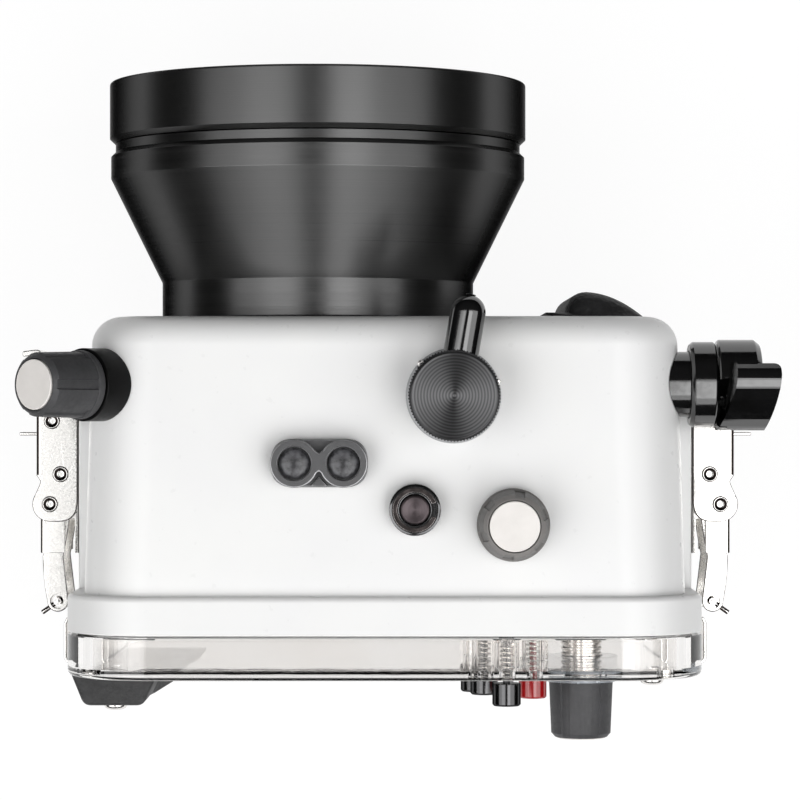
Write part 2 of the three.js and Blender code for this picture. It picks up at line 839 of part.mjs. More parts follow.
function fibreSockets() {
  const half = socketSpacing / 2;
  const base = topHeight + seatGap;
  const reach = half + socketLobeRadius;
  const foot = roundedOutline(-reach, reach, -socketLobeRadius, socketLobeRadius, socketLobeRadius);
  const plate = slab(foot, base, base + socketPlateHeight);
  const upper = base + socketBlockHeight;
  const lobes = [-1, 1].map((side) => moved(rod(socketLobeRadius, base, upper), side * half, 0, 0));
  const waist = slab([
    [-half, -socketNotchRear - socketLobeRadius / 2],
    [-socketNotchWidth, -socketNotchRear],
    [socketNotchWidth, -socketNotchRear],
    [half, -socketNotchRear - socketLobeRadius / 2],
    [half, socketNotchFront + socketLobeRadius / 2],
    [socketNotchWidth, socketNotchFront],
    [-socketNotchWidth, socketNotchFront],
    [-half, socketNotchFront + socketLobeRadius / 2],
  ], base, upper);
  const well = rod(socketHoleRadius, upper - socketHoleDepth, upper + overrun);
  const holes = [-1, 1].map((side) => moved(well, side * half, 0, 0));
  const group = new THREE.Group();
  group.position.set(socketX, socketY, 0);
  group.add(piece('fibre_socket_block', blackAluminium(), cut(join(plate, ...lobes, waist), ...holes)));
  const seat = upper - socketHoleDepth + seatGap;
  ['left', 'right'].forEach((word, i) => {
    const crown = domeShares.map(([out, up]) => [
      socketWindowRadius * out, socketWindowBase + socketWindowDome * up]);
    const dome = turned([[0, 0], [socketWindowRadius, 0], ...crown], smallSides);
    group.add(piece(`fibre_window_${word}`, clearPlastic(), dome, (2 * i - 1) * half, 0, seat));
  });
  return group;
}

// Rings of a control knob: a round foot ring, a grooved tapering grip and a round seat for the insert
function knobRing(radius, grooveDepth, z) {
  const pointsPerGroove = knobGrooveShares.length;
  const ring = [];
  for (let g = 0; g < knobGrooves; g += 1) {
    for (let i = 0; i < pointsPerGroove; i += 1) {
      const raised = knobGrooveShares[i];
      const angle = ((g + (i + (1 - raised) / 2) / pointsPerGroove) / knobGrooves) * 4 * quarter;
      const r = radius - grooveDepth * (1 - raised);
      ring.push(new THREE.Vector3(r * Math.cos(angle), r * Math.sin(angle), z));
    }
  }
  return ring;
}

function controlKnob(base, tip, length, insertSeat, shaftRadius) {
  const seatDepth = knobInsertThickness - knobInsertProud + seatGap;
  const socketDepth = length * knobSocketShare;
  return lofted([
    knobRing(shaftRadius + seatGap, 0, socketDepth),
    knobRing(shaftRadius + seatGap, 0, 0),
    knobRing(base, 0, 0),
    knobRing(base, 0, knobRingHeight),
    knobRing(base - knobRingStep, knobGrooveDepth, knobRingHeight),
    knobRing(tip, knobGrooveDepth, length - knobEdge),
    knobRing(tip - knobEdge, 0, length),
    knobRing(insertSeat + seatGap, 0, length),
    knobRing(insertSeat + seatGap, 0, length - seatDepth),
  ]);
}

function knobInsert(radius, length) {
  return rod(radius, length + knobInsertProud - knobInsertThickness, length + knobInsertProud);
}

function tiltedControl() {
  const gland = turned([
    [tiltShaftRadius + runningGap, -tiltGlandSunk],
    [tiltGlandStem, -tiltGlandSunk],
    [tiltGlandStem, -tiltGlandSunk + overrun],
    [tiltGlandRadius, -tiltGlandSunk + overrun],
    [tiltGlandRadius, tiltGlandLength],
    [tiltShaftRadius + runningGap, tiltGlandLength],
  ]);
  const stem = tube(tiltGlandStem, tiltShaftRadius + runningGap, -tiltGlandSunk, tiltGlandLength);
  const seated = join(cut(onTilt(gland), shellForm(seatGap)), onTilt(stem));
  const shaft = join(
    rod(tiltShaftRadius, -tiltShaftSunk, tiltGlandLength + leftKnobLength * knobSocketShare),
    rod(tiltWheelRadius, -tiltShaftSunk, -tiltShaftSunk + tiltWheelWidth),
  );
  const group = new THREE.Group();
  group.position.set(tiltX, tiltY, tiltZ);
  group.rotation.y = (tiltAngle - 90) * degree;
  const knobFoot = tiltGlandLength + seatGap;
  group.add(piece('left_control_shaft', stainless(), shaft));
  const grip = controlKnob(leftKnobBase, leftKnobTip, leftKnobLength, leftInsertRadius, tiltShaftRadius);
  group.add(piece('left_knob', knobPlastic(), grip, 0, 0, knobFoot));
  const insert = knobInsert(leftInsertRadius, leftKnobLength);
  group.add(piece('left_knob_cap', paleInsert(), insert, 0, 0, knobFoot));
  return [piece('left_control_gland', blackGloss(), seated), group];
}

// Finger lever of the shutter control: a turned hub scooped for the finger, with a curved paddle
function triggerForm() {
  const hub = alongX(rod(shutterHubRadius, shutterCollarEnd + seatGap, shutterHubEnd))
    .translate(0, shutterY, shutterZ);
  const high = shutterZ + shutterPaddleReach;
  const scoop = moved(rod(shutterScoopRadius, shutterZ + shutterScoopDepth, high + overrun), shutterScoopX,
    shutterScoopY - shutterScoopRadius / 2, 0);
  const trim = block(shutterScoopX, shutterHubEnd + overrun, shutterY - shutterHubRadius - overrun,
    shutterPaddleFrontY, shutterZ, high);
  const paddle = new THREE.Shape();
  paddle.moveTo(shutterPaddleInnerTop, shutterPaddleFrontY);
  const bendY = shutterY - overrun;
  paddle.quadraticCurveTo(shutterPaddleInnerTop + shutterPaddleBow, bendY, shutterPaddleInnerFoot,
    shutterPaddleRearY);
  paddle.lineTo(shutterPaddleOuterFoot, shutterPaddleRearY);
  paddle.quadraticCurveTo(shutterPaddleOuterTop - shutterPaddleBow, bendY, shutterPaddleOuterTop,
    shutterPaddleFrontY);
  const band = slab(paddle, shutterZ - shutterHubRadius / 2, high + overrun, 2 * cornerSteps);
  const round = alongX(rod(shutterPaddleReach, shutterPaddleInnerFoot, shutterPaddleOuterTop + overrun))
    .translate(0, shutterY - overrun / 2, shutterZ);
  return join(cut(hub, scoop, trim), common(band, round));
}

function shutterControl() {
  const bore = shutterShaftRadius + runningGap;
  const gland = alongX(tube(shutterGlandRadius, bore, shutterStemEnd + overrun, shutterGlandFace))
    .translate(0, shutterY, shutterZ);
  const stem = alongX(tube(shutterGlandStem, bore, shutterStemEnd, shutterGlandFace))
    .translate(0, shutterY, shutterZ);
  const seated = join(cut(gland, shellForm(seatGap)), stem);
  const group = new THREE.Group();
  group.position.set(0, shutterY, shutterZ);
  group.rotation.y = quarter;
  const collar = turned([
    [0, shutterShaftEnd],
    [shutterShaftRadius, shutterShaftEnd],
    [shutterShaftRadius, shutterGlandFace + seatGap],
    [shutterGlandRadius + seatGap, shutterGlandFace + seatGap],
    [shutterGlandRadius + seatGap, shutterCollarX],
    [shutterCollarRadius - portChamfer, shutterCollarX],
    [shutterCollarRadius, shutterCollarX + portChamfer],
    [shutterCollarRadius, shutterCollarEnd],
    [0, shutterCollarEnd],
  ]);
  group.add(piece('shutter_collar', blackGloss(), collar));
  const armEnd = shutterArmX + shutterArmWidth;
  const armHub = alongX(rod(shutterArmHub, shutterArmX, armEnd)).translate(0, shutterY, shutterZ);
  const arm = alongX(slab([
    [shutterArmHub / 2, shutterArmTip],
    [shutterArmHub / 2, shutterArmHub],
    [shutterArmLength / 2, shutterArmLength],
    [shutterArmLength / 2, shutterArmLength + shutterArmTip],
    [-shutterArmHub / 2, shutterArmLength + shutterArmTip],
    [-shutterArmHub / 2, shutterArmTip],
  ].map(([down, back]) => [down, -back]), shutterArmX, armEnd)).translate(0, shutterY, shutterZ);
  const eye = alongX(rod(shutterShaftRadius + seatGap, shutterArmX - overrun, armEnd + overrun))
    .translate(0, shutterY, shutterZ);
  return [
    piece('shutter_gland', blackGloss(), seated),
    group,
    piece('shutter_trigger', blackGloss(), triggerForm()),
    piece('shutter_arm', stainless(), cut(join(armHub, arm), eye)),
  ];
}

function capsule(radius, length) {
  const points = [];
  for (let i = 0; i <= cornerSteps; i += 1) {
    const angle = (i / cornerSteps) * quarter;
    points.push([radius * Math.cos(angle), length - radius + radius * Math.sin(angle)]);
  }
  points[points.length - 1][0] = 0;
  return turned([[0, 0], [radius, 0], ...points], smallSides);
}

function knurlRing(radius, toothDepth, z) {
  const ring = [];
  for (let i = 0; i < 2 * leverDiscTeeth; i += 1) {
    const angle = (i / leverDiscTeeth) * 2 * quarter;
    const r = radius - (i % 2 ? toothDepth : 0);
    ring.push(new THREE.Vector3(r * Math.cos(angle), r * Math.sin(angle), z));
  }
  return ring;
}

function stopPinPlace(angle) {
  const turn = (90 - leverArmAngle + angle) * degree;
  return [stopPinOffset * Math.cos(turn), stopPinOffset * Math.sin(turn)];
}

function topLever() {
  const group = new THREE.Group();
  group.position.set(leverX, leverY, topHeight);
  const flangeTop = seatGap + leverFlangeHeight;
  const discFoot = leverArmCentreHeight + leverArmRadius + seatGap;
  const bore = leverShaftRadius + runningGap;
  const gland = join(
    tube(leverFlangeRadius, bore, seatGap, flangeTop),
    tube(leverStemRadius, bore, -leverStemSunk, flangeTop),
  );
  const pinHole = rod(stopPinRadius + seatGap, -overrun, flangeTop + overrun, rivetSides);
  const pinHoles = stopPinAngles.map((angle) => moved(pinHole, ...stopPinPlace(angle), 0));
  group.add(piece('lever_gland', blackAluminium(), cut(gland, ...pinHoles)));
  ['left', 'right'].forEach((word, i) => {
    const [x, y] = stopPinPlace(stopPinAngles[i]);
    const pin = rod(stopPinRadius, seatGap, stopPinHeight, rivetSides);
    group.add(piece(`lever_stop_pin_${word}`, stainless(), pin, x, y, 0));
  });
  const arm = capsule(leverArmRadius, leverArmLength).rotateX(-quarter).rotateZ(-leverArmAngle * degree)
    .translate(0, 0, leverArmCentreHeight);
  const hub = rod(leverHubRadius, flangeTop + seatGap, leverArmCentreHeight + leverArmRadius);
  const armBore = rod(leverShaftRadius + seatGap, 0, leverArmCentreHeight + 2 * leverArmRadius);
  group.add(piece('lever_arm', blackGloss(), cut(join(hub, arm), armBore)));
  const discTop = discFoot + leverDiscThickness;
  const disc = lofted([
    knurlRing(leverShaftRadius + seatGap, 0, discFoot + leverDiscThickness / 2),
    knurlRing(leverShaftRadius + seatGap, 0, discFoot),
    knurlRing(leverDiscRadius - leverDiscEdge / 2, 0, discFoot),
    knurlRing(leverDiscRadius, leverToothDepth, discFoot + leverDiscEdge / 2),
    knurlRing(leverDiscRadius, leverToothDepth, discTop - leverDiscEdge),
    knurlRing(leverDiscRadius - leverDiscEdge, 0, discTop),
  ]);
  group.add(piece('lever_disc', blackAluminium(), disc));
  const shaft = rod(leverShaftRadius, -leverShaftSunk, discFoot + leverDiscThickness / 2 - seatGap);
  const forkHalf = leverForkWidth / 2;
  const fork = block(-forkHalf, forkHalf, -leverForkLength, forkHalf, -leverShaftSunk,
    -leverShaftSunk + leverForkThickness);
  group.add(piece('lever_shaft', stainless(), join(shaft, fork)));
  return group;
}

function topButton() {
  const group = new THREE.Group();
  group.position.set(buttonX, buttonY, topHeight);
  const top = seatGap + buttonGuardHeight;
  const capTop = top - buttonCapSunk;
  const capFoot = capTop - buttonCapThickness;
  const well = capFoot - buttonTravel - seatGap;
  const guard = turned([
    [buttonShaftRadius + runningGap, -buttonStemSunk],
    [buttonStemRadius, -buttonStemSunk],
    [buttonStemRadius, seatGap],
    [buttonGuardRadius, seatGap],
    [buttonGuardRadius, top - seatGap],
    [buttonGuardRadius - seatGap, top],
    [clipOuterRadius + seatGap, top],
    [clipOuterRadius + seatGap, top - clipRecess],
    [buttonCapRadius + seatGap, top - clipRecess],
    [buttonCapRadius + seatGap, well],
    [buttonShaftRadius + runningGap, well],
  ]);
  group.add(piece('top_button_guard', blackAluminium(), guard));
  const clipShape = new THREE.Shape();
  const open = (clipGapAngle / 2) * degree;
  clipShape.absarc(0, 0, clipOuterRadius, open, 4 * quarter - open, false);
  clipShape.absarc(0, 0, clipInnerRadius, 4 * quarter - open, open, true);
  const clip = slab(clipShape, 0, clipThickness, midSides);
  group.add(piece('top_button_clip', stainless(), clip, 0, 0, top - clipRecess + seatGap));
  const cap = join(
    rod(buttonCapRadius, capFoot, capTop),
    rod(buttonShaftRadius, -buttonShaftSunk, capTop - buttonCapThickness / 2),
    rod(buttonTipRadius, -buttonShaftSunk - buttonTipHeight, -buttonShaftSunk),
  );
  group.add(piece('top_button', blackAluminium(), cap));
  return group;
}

function modeDial() {
  const group = new THREE.Group();
  group.position.set(dialX, dialY, topHeight);
  const glandTop = seatGap + dialGlandHeight;
  const foot = glandTop + seatGap;
  const bore = dialShaftRadius + runningGap;
  group.add(piece('mode_dial_gland', blackAluminium(), join(tube(dialGlandRadius, bore, seatGap, glandTop),
    tube(dialStemRadius, bore, -dialStemSunk, glandTop))));
  const grip = controlKnob(dialBase, dialTip, dialLength, dialInsertRadius, dialShaftRadius);
  group.add(piece('mode_dial', knobPlastic(), grip, 0, 0, foot));
  group.add(piece('mode_dial_cap', paleInsert(), knobInsert(dialInsertRadius, dialLength), 0, 0, foot));
  const wheel = join(
    rod(dialShaftRadius, -dialShaftSunk, foot + dialLength * knobSocketShare - seatGap),
    rod(dialWheelRadius, -dialShaftSunk, -dialShaftSunk + dialWheelThickness),
  );
  group.add(piece('mode_dial_wheel', rubber(), wheel));
  return group;
}

function latchOutlineRing(side, points) {
  return points.map(([out, y]) => [side * (latchPadFace + out), y]);
}

// Flat steel plate drawn outward from the pad face, made once above and once below the latch middle
function platePair(side, shape, height) {
  return [height, -height - steel].map((low) => slab(shape, axisHeight + low, axisHeight + low + steel));
}

function rivet(side, [out, y], from, to, headed) {
  const shank = rod(rivetRadius, from, to, rivetSides);
  const seat = to - steel / 4;
  const crown = to + rivetHeadHeight;
  const head = turned([
    [0, seat],
    [rivetHeadRadius, seat],
    [rivetHeadRadius, to + rivetHeadHeight / 2],
    [rivetHeadRadius * rivetCrownShare, crown],
    [0, crown],
  ], rivetSides);
  return moved(headed ? join(shank, head) : shank, side * (latchPadFace + out), y, axisHeight);
}

function mirrored(geometry) {
  return geometry.clone().translate(0, 0, -axisHeight).scale(1, 1, -1).translate(0, 0, axisHeight);
}

function pinHole(side, [out, y], radius, half) {
  return moved(rod(radius, -half, half, rivetSides), side * (latchPadFace + out), y, axisHeight);
}

function latchBase(side, word) {
  const x0 = side * (latchPadFace + seatGap);
  const x1 = side * (latchPadFace + seatGap + earInner);
  const halfHeight = earPlateZ + steel;
  const web = block(Math.min(x0, x1), Math.max(x0, x1), earRearY, baseFrontY, axisHeight - halfHeight,
    axisHeight + halfHeight);
  const ear = latchOutlineRing(side, [
    [earRootOut, earRearY],
    [earOuter, earRearY],
    [earOuter, basePivot[1]],
    ...Array.from({ length: earNoseSteps }, (_, i) => ((i + 1) / earNoseSteps) * quarter).map((turn) => [
      basePivot[0] + (earOuter - basePivot[0]) * Math.cos(turn),
      basePivot[1] + earNoseRadius * Math.sin(turn)]),
    [earInner, linkPivot[1] - 2 * linkEyeRadius],
    [seatGap, linkPivot[1] - linkEyeRadius],
    [seatGap, earRootY],
    [earRootOut, earRootY],
  ]);
  const holes = pinHole(side, basePivot, rivetHoleRadius, 2 * halfHeight);
  return piece(`latch_base_${word}`, stainless(), cut(join(web, ...platePair(side, ear, earPlateZ)), holes));
}

function latchLever(side, word) {
  const at = (out) => side * (latchPadFace + out);
  const shape = new THREE.Shape();
  shape.moveTo(at(leverInner), leverFrontY);
  shape.lineTo(at(leverInner), basePivot[1] + steel);
  const tailY = basePivot[1] - leverTailRadius;
  shape.quadraticCurveTo(at(leverInner), tailY, at(basePivot[0] - leverTailRadius / 2), tailY);
  shape.lineTo(at(basePivot[0]), tailY);
  const tailFrom = -quarter;
  const tailTo = side > 0 ? leverTailEnd : Math.PI - leverTailEnd;
  shape.absarc(at(basePivot[0]), basePivot[1], leverTailRadius, tailFrom, tailTo, side < 0);
  shape.lineTo(at(leverOuter - leverNotchRadius / 2), leverNotchY);
  shape.lineTo(at(leverOuter), leverNotchY + leverNotchRadius);
  shape.lineTo(at(leverOuter), leverFrontY);
  const plates = platePair(side, shape, leverPlateZ);
  const half = leverPlateZ + steel;
  const webOuter = at(leverOuter);
  const webInner = at(leverOuter - steel);
  const web = block(Math.min(webOuter, webInner), Math.max(webOuter, webInner), leverWebFrom, leverFrontY,
    axisHeight - half, axisHeight + half);
  const tab = slab([
    [at(leverOuter - steel), leverFrontY - steel],
    [at(leverOuter), leverFrontY - steel],
    [at(leverOuter + leverTabReach), leverFrontY + leverTabRise - steel],
    [at(leverOuter + leverTabReach), leverFrontY + leverTabRise],
    [at(leverOuter + leverTabReach - steel), leverFrontY + leverTabRise],
    [at(leverOuter - steel), leverFrontY],
  ], axisHeight - leverTabHalfHeight, axisHeight + leverTabHalfHeight);
  const stub = rivet(side, basePivot, earPlateZ, half, true);
  const linkPin = rivet(side, linkPivot, 0, half, true);
  const lockPin = rivet(side, lockPivot, 0, half, true);
  const slot = block(Math.min(webOuter, webInner) - steel, Math.max(webOuter, webInner) + steel,
    lockTabY - lockSlotRoom, lockTabY + lockTabThickness, axisHeight - lockHalfHeight - seatGap,
    axisHeight + lockHalfHeight + seatGap);
  const channel = cut(join(...plates, web, tab), slot);
  const rivets = [stub, linkPin, lockPin].flatMap((one) => [one, mirrored(one)]);
  return piece(`latch_lever_${word}`, stainless(), join(channel, ...rivets));
}

function latchLink(side, word) {
  const at = (out) => side * (latchPadFace + out);
  const shape = new THREE.Shape();
  const [eyeOut, eyeY] = linkPivot;
  const [endOut, endY] = linkEnd;
  shape.moveTo(at(eyeOut - linkEyeRadius), eyeY);
  shape.quadraticCurveTo(at(linkNeckInner), linkNeckY, at(linkInner), linkBellyY);
  shape.lineTo(at(endOut - linkEndRadius), endY);
  const [endFrom, endTo] = side > 0 ? [2 * quarter, 4 * quarter] : [0, -2 * quarter];
  shape.absarc(at(endOut), endY, linkEndRadius, endFrom, endTo, side < 0);
  shape.quadraticCurveTo(at(linkOuter), (endY + linkBellyY) / 2, at(linkOuter), linkBellyY);
  shape.quadraticCurveTo(at(linkNeckOuter), linkNeckY - steel, at(eyeOut + linkEyeRadius), eyeY);
  const [eyeFrom, eyeTo] = side > 0 ? [0, 2 * quarter] : [2 * quarter, 0];
  shape.absarc(at(eyeOut), eyeY, linkEyeRadius, eyeFrom, eyeTo, side < 0);
  const plates = platePair(side, shape, linkPlateZ);
  const middle = (linkInner + linkOuter) / 2 - steel;
  const spineHalf = linkPlateZ + steel / 2;
  const spine = block(Math.min(at(middle), at(middle + steel)), Math.max(at(middle), at(middle + steel)),
    linkSpineTo, linkSpineFrom - 2 * steel, axisHeight - spineHalf, axisHeight + spineHalf);
  const pinHalf = linkPlateZ + steel;
  const pin = moved(rod(rivetRadius, -pinHalf, pinHalf, rivetSides), at(endOut), endY, axisHeight);
  const peg = alongX(rod(linkPegRadius, 0, linkPegLength + linkEndRadius, rivetSides))
    .rotateZ(-linkPegAngle * degree).scale(side, 1, 1).translate(at(endOut), endY, axisHeight + linkPlateZ);
  const eye = pinHole(side, linkPivot, rivetHoleRadius, 2 * linkPlateZ);
  return piece(`latch_link_${word}`, stainless(), join(cut(join(...plates, spine), eye), pin, peg));
}

// Small catch inside the lever channel, with a thumb tab through the slot
function latchLock(side, word) {
  const at = (out) => side * (latchPadFace + out);
  const [out, y] = lockPivot;
  const low = axisHeight - lockHalfHeight;
  const high = axisHeight + lockHalfHeight;
  const eye = moved(rod(lockEyeRadius, low, high, smallSides), at(out), y, 0);
  const tabRear = lockTabY - lockTabThickness / 2;
  const arm = slab([
    [at(out - lockEyeRadius), y],
    [at(out - lockEyeRadius + lockTabThickness), y],
    [at(out), tabRear + lockTabThickness],
    [at(lockTabOuter), tabRear + lockTabThickness],
    [at(lockTabOuter), tabRear],
    [at(out - lockEyeRadius), tabRear],
  ], low, high);
  const hole = pinHole(side, lockPivot, rivetHoleRadius, 2 * lockHalfHeight);
  return piece(`latch_lock_${word}`, stainless(), cut(join(eye, arm), hole));
}

function latch(side, word) {
  return [latchBase(side, word), latchLever(side, word), latchLink(side, word), latchLock(side, word)];
}

// Hairpin strip on the door side: a foot, a bend and an outer leaf with a lip
function latchKeeper(side, word) {
  const footInner = flangeWidth / 2 + seatGap;
  const bendRadius = (keeperOuter - footInner) / 2;
  const centre = footInner + bendRadius;
  const arc = (radius, from, to) => Array.from({ length: cornerSteps + 1 }, (_, i) => {
    const angle = from + (i / cornerSteps) * (to - from);
    return [centre + radius * Math.cos(angle), keeperBendY + radius * Math.sin(angle)];
  });
  const outline = [
    [footInner, keeperFootY],
    ...arc(bendRadius, Math.PI, 4 * quarter),
    [keeperOuter, keeperFrontY],
    [keeperOuter - keeperLipReach, keeperFrontY + keeperLipRise],
    [keeperOuter - keeperLipReach - keeperThickness, keeperFrontY + keeperLipRise],
    [keeperOuter - keeperThickness, keeperFrontY],
    ...arc(bendRadius - keeperThickness, 4 * quarter, Math.PI),
    [footInner + keeperThickness, keeperFootY],
  ].map(([x, y]) => [side * x, y]);
  return piece(`latch_keeper_${word}`, stainless(),
    slab(outline, axisHeight - keeperHalfHeight, axisHeight + keeperHalfHeight));
}

function backDoor() {
  const outer = lofted([
    flangeRing(doorFrontY, 0),
    flangeRing(doorRearY + doorEdge, 0),
    flangeRing(doorRearY + doorEdge * edgeShare, doorEdge * edgeShare),
    flangeRing(doorRearY, doorEdge),
  ]);
  const recess = lofted([
    flangeRing(doorFrontY + overrun, doorRim),
    flangeRing(doorRearY + doorPlate, doorRim),
  ]);
  const plateMiddle = doorRearY + doorPlate / 2;
  const outside = doorRearY - overrun;
  const inside = bossFrontY + overrun;
  const along = ([x, z], radius, from, to, sides = smallSides) => alongY(rod(radius, from, to, sides))
    .translate(x, 0, z);
  const knobPlace = [rearKnobX, rearKnobZ];
  const bosses = rearButtonPlaces.map((place) => along(place, bossRadius, plateMiddle, bossFrontY));
  const glandBoss = along(knobPlace, rearBossRadius, plateMiddle, bossFrontY, midSides);
  const guard = alongY(tube(guardOuterRadius, guardInnerRadius, doorRearY - guardLength, plateMiddle))
    .translate(rearKnobX, 0, rearKnobZ);
  const springBores = rearButtonPlaces.map((place) => along(place, springBoreRadius, outside, springFloorY));
  const shaftBores = rearButtonPlaces.map((place) => along(place, rearShaftRadius + runningGap,
    springFloorY - overrun, inside));
  const glandBore = along(knobPlace, rearGlandRadius + seatGap, outside, inside, midSides);
  const screwRoom = screwShankRadius + seatGap;
  const screwBores = [
    along([thumbScrewX, thumbScrewZ], screwRoom, outside, doorRearY + thumbScrewReach - thumbDepth + seatGap),
    along([doorScrewX, doorScrewZ], screwRoom, outside, doorRearY + doorScrewReach + seatGap),
  ];
  const tray = join(cut(outer, recess), ...bosses, glandBoss, guard);
  const bores = [...springBores, ...shaftBores, glandBore, ...screwBores];
  return piece('back_door', clearPlastic(), cut(tray, ...bores));
}

// One unbroken wire wound about +Y, with its ends squared to the axis
function coilSpring(from, to) {
  const rings = [];
  const steps = springCurls * springStepsPerCurl;
  const lift = to - from - 2 * springWire;
  for (let s = 0; s <= steps; s += 1) {
    const turn = (s / springStepsPerCurl) * 4 * quarter;
    const outward = new THREE.Vector3(Math.cos(turn), 0, Math.sin(turn));
    const centre = outward.clone().multiplyScalar(springCoilRadius);
    centre.y = from + springWire + lift * (s / steps);
    const rise = new THREE.Vector3(0, 1, 0);
    const ring = [];
    for (let i = 0; i < springSides; i += 1) {
      const angle = (i / springSides) * 4 * quarter;
      ring.push(centre.clone()
        .addScaledVector(outward, springWire * Math.cos(angle))
        .addScaledVector(rise, springWire * Math.sin(angle)));
    }
    rings.push(ring);
  }
  return lofted(rings);
}

// Least distance between points of the wire that are half a curl or more apart along it
function springGap(geometry) {
  const position = geometry.getAttribute('position');
  const ringCount = springCurls * springStepsPerCurl + 1;
  const near = springStepsPerCurl / 2;
  const a = new THREE.Vector3();
  const b = new THREE.Vector3();
  let least = Infinity;
  for (let i = 0; i < ringCount * springSides; i += 1) {
    a.fromBufferAttribute(position, i);
    for (let j = i + 1; j < ringCount * springSides; j += 1) {
      const apart = Math.floor(j / springSides) - Math.floor(i / springSides);
      if (apart > near) least = Math.min(least, a.distanceTo(b.fromBufferAttribute(position, j)));
    }
  }
  return least;
}

function rearButton(index) {
  const [x, z] = rearButtonPlaces[index];
  const number = index + 1;
  const look = index === rearButtonPlaces.length - 1 ? redAluminium() : blackAluminium();
  const capFront = doorRearY - rearButtonTravel - seatGap;
  const tipRear = bossFrontY + seatGap;
  const form = turned([
    [0, rearCapRearY],
    [rearCapRadius - portChamfer / 2, rearCapRearY],
    [rearCapRadius, rearCapRearY + portChamfer / 2],
    [rearCapRadius, capFront],
    [rearShaftRadius, capFront],
    [rearShaftRadius, tipRear],
    [rearTipRadius, tipRear],
    [rearTipRadius, tipRear + rearTipLength],
    [0, tipRear + rearTipLength],
  ], smallSides);
  const spring = coilSpring(capFront + seatGap, springFloorY - seatGap);
  if (index === 0) console.log(`least gap between spring curls: ${springGap(spring).toFixed(2)} mm`);
  return [
    piece(`back_button_${number}`, look, alongY(form), x, 0, z),
    piece(`back_button_spring_${number}`, stainless(), spring, x, 0, z),
  ];
}

function rearKnobControl() {
  const group = new THREE.Group();
  group.position.set(rearKnobX, 0, rearKnobZ);
  group.rotation.x = quarter;
  const face = -doorRearY + seatGap;
  const bore = rearShaft + runningGap;
  const threadFrom = -rearGlandFrontY;
  const pitch = (face - threadFrom) / rearGlandThreads;
  const threads = Array.from({ length: rearGlandThreads }, (_, i) => [
    [rearGlandRadius, threadFrom + i * pitch],
    [rearGlandRadius - rearGlandThreadDepth, threadFrom + (i + threadRootShare) * pitch],
  ]).flat();
  const gland = turned([
    [bore, threadFrom],
    ...threads,
    [rearGlandRadius, face],
    [rearGlandFlange, face],
    [rearGlandFlange, face + rearGlandFlangeLength],
    [bore, face + rearGlandFlangeLength],
  ], rearGlandSides);
  const foot = face + rearGlandFlangeLength + seatGap;
  const length = rearKnobLength - rearGlandFlangeLength;
  group.add(piece('rear_knob_gland', stainless(), gland));
  const grip = controlKnob(rearKnobBase, rearKnobTip, length, rearInsertRadius, rearShaft);
  group.add(piece('rear_knob', knobPlastic(), grip, 0, 0, foot));
  group.add(piece('rear_knob_cap', paleInsert(), knobInsert(rearInsertRadius, length), 0, 0, foot));
  const shaft = rod(rearShaft, -rearShaftFrontY, foot + length * knobSocketShare - seatGap, smallSides);
  group.add(piece('rear_knob_shaft', stainless(), shaft));
  return group;
}

function thumbRest() {
  const front = doorRearY - seatGap;
  const rear = front - thumbDepth;
  const corner = (x, y, across) => [0, 1, 2].map((i) => [
    x + across * Math.cos(i * quarter / 2),
    y + thumbCorner * (1 - Math.sin(i * quarter / 2))]);
  const ring = (z, wing) => [
    [thumbBaseLeft, front],
    ...corner(thumbFaceLeft + thumbCorner, rear, -thumbCorner),
    ...corner(thumbFaceRight - thumbCorner, rear, thumbCorner).reverse(),
    [thumbBaseRight + wing, front],
  ].map(([x, y]) => new THREE.Vector3(x, y, z));
  const form = lofted([
    ring(thumbLow, thumbWingReach),
    ring(thumbWingTop, thumbWingReach),
    ring(thumbWingTop + thumbWingSlope, 0),
    ring(thumbHigh, 0),
  ]);
  const hole = alongY(rod(screwShankRadius + seatGap, rear - overrun, front + overrun, smallSides))
    .translate(thumbScrewX, 0, thumbScrewZ);
  return piece('thumb_rest', rubber(), cut(form, hole));
}

function panScrew(name, x, z, faceY, reach, washer) {
  const base = washer ? doorScrewWasherHeight : 0;
  const points = [[0, -reach], [screwShankRadius, -reach], [screwShankRadius, 0]];
  if (washer) points.push([doorScrewWasher, 0], [doorScrewWasher, base]);
  points.push([screwHeadRadius, base]);
  points.push(...screwCrownShares.map(([out, up]) => [screwHeadRadius * out, base + screwHeadHeight * up]));
  return piece(name, stainless(), turned(points, smallSides).rotateX(quarter), x, faceY - seatGap, z);
}

const housing = new THREE.Group();
housing.name = 'underwater_camera_housing';
housing.add(housingBody());
housing.add(doorSeal());
housing.add(port());
housing.add(threadedInsert());
housing.add(...cameraTray());
housing.add(frontGrip());
housing.add(fibreSockets());
housing.add(...tiltedControl());
housing.add(...shutterControl());
housing.add(topLever());
housing.add(topButton());
housing.add(modeDial());
housing.add(...latch(-1, 'left'));
housing.add(...latch(1, 'right'));
housing.add(backDoor());
housing.add(latchKeeper(-1, 'left'));
housing.add(latchKeeper(1, 'right'));
rearButtonPlaces.forEach((_, index) => housing.add(...rearButton(index)));
housing.add(rearKnobControl());
housing.add(thumbRest());
const thumbFaceY = doorRearY - seatGap - thumbDepth;
housing.add(panScrew('thumb_rest_screw', thumbScrewX, thumbScrewZ, thumbFaceY, thumbScrewReach, false));
housing.add(panScrew('back_door_screw', doorScrewX, doorScrewZ, doorRearY, doorScrewReach, true));

export default housing;
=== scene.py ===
from math import cos, inf, pi, radians, sin, sqrt, tan

import bmesh
import bpy
from mathutils import Matrix, Vector


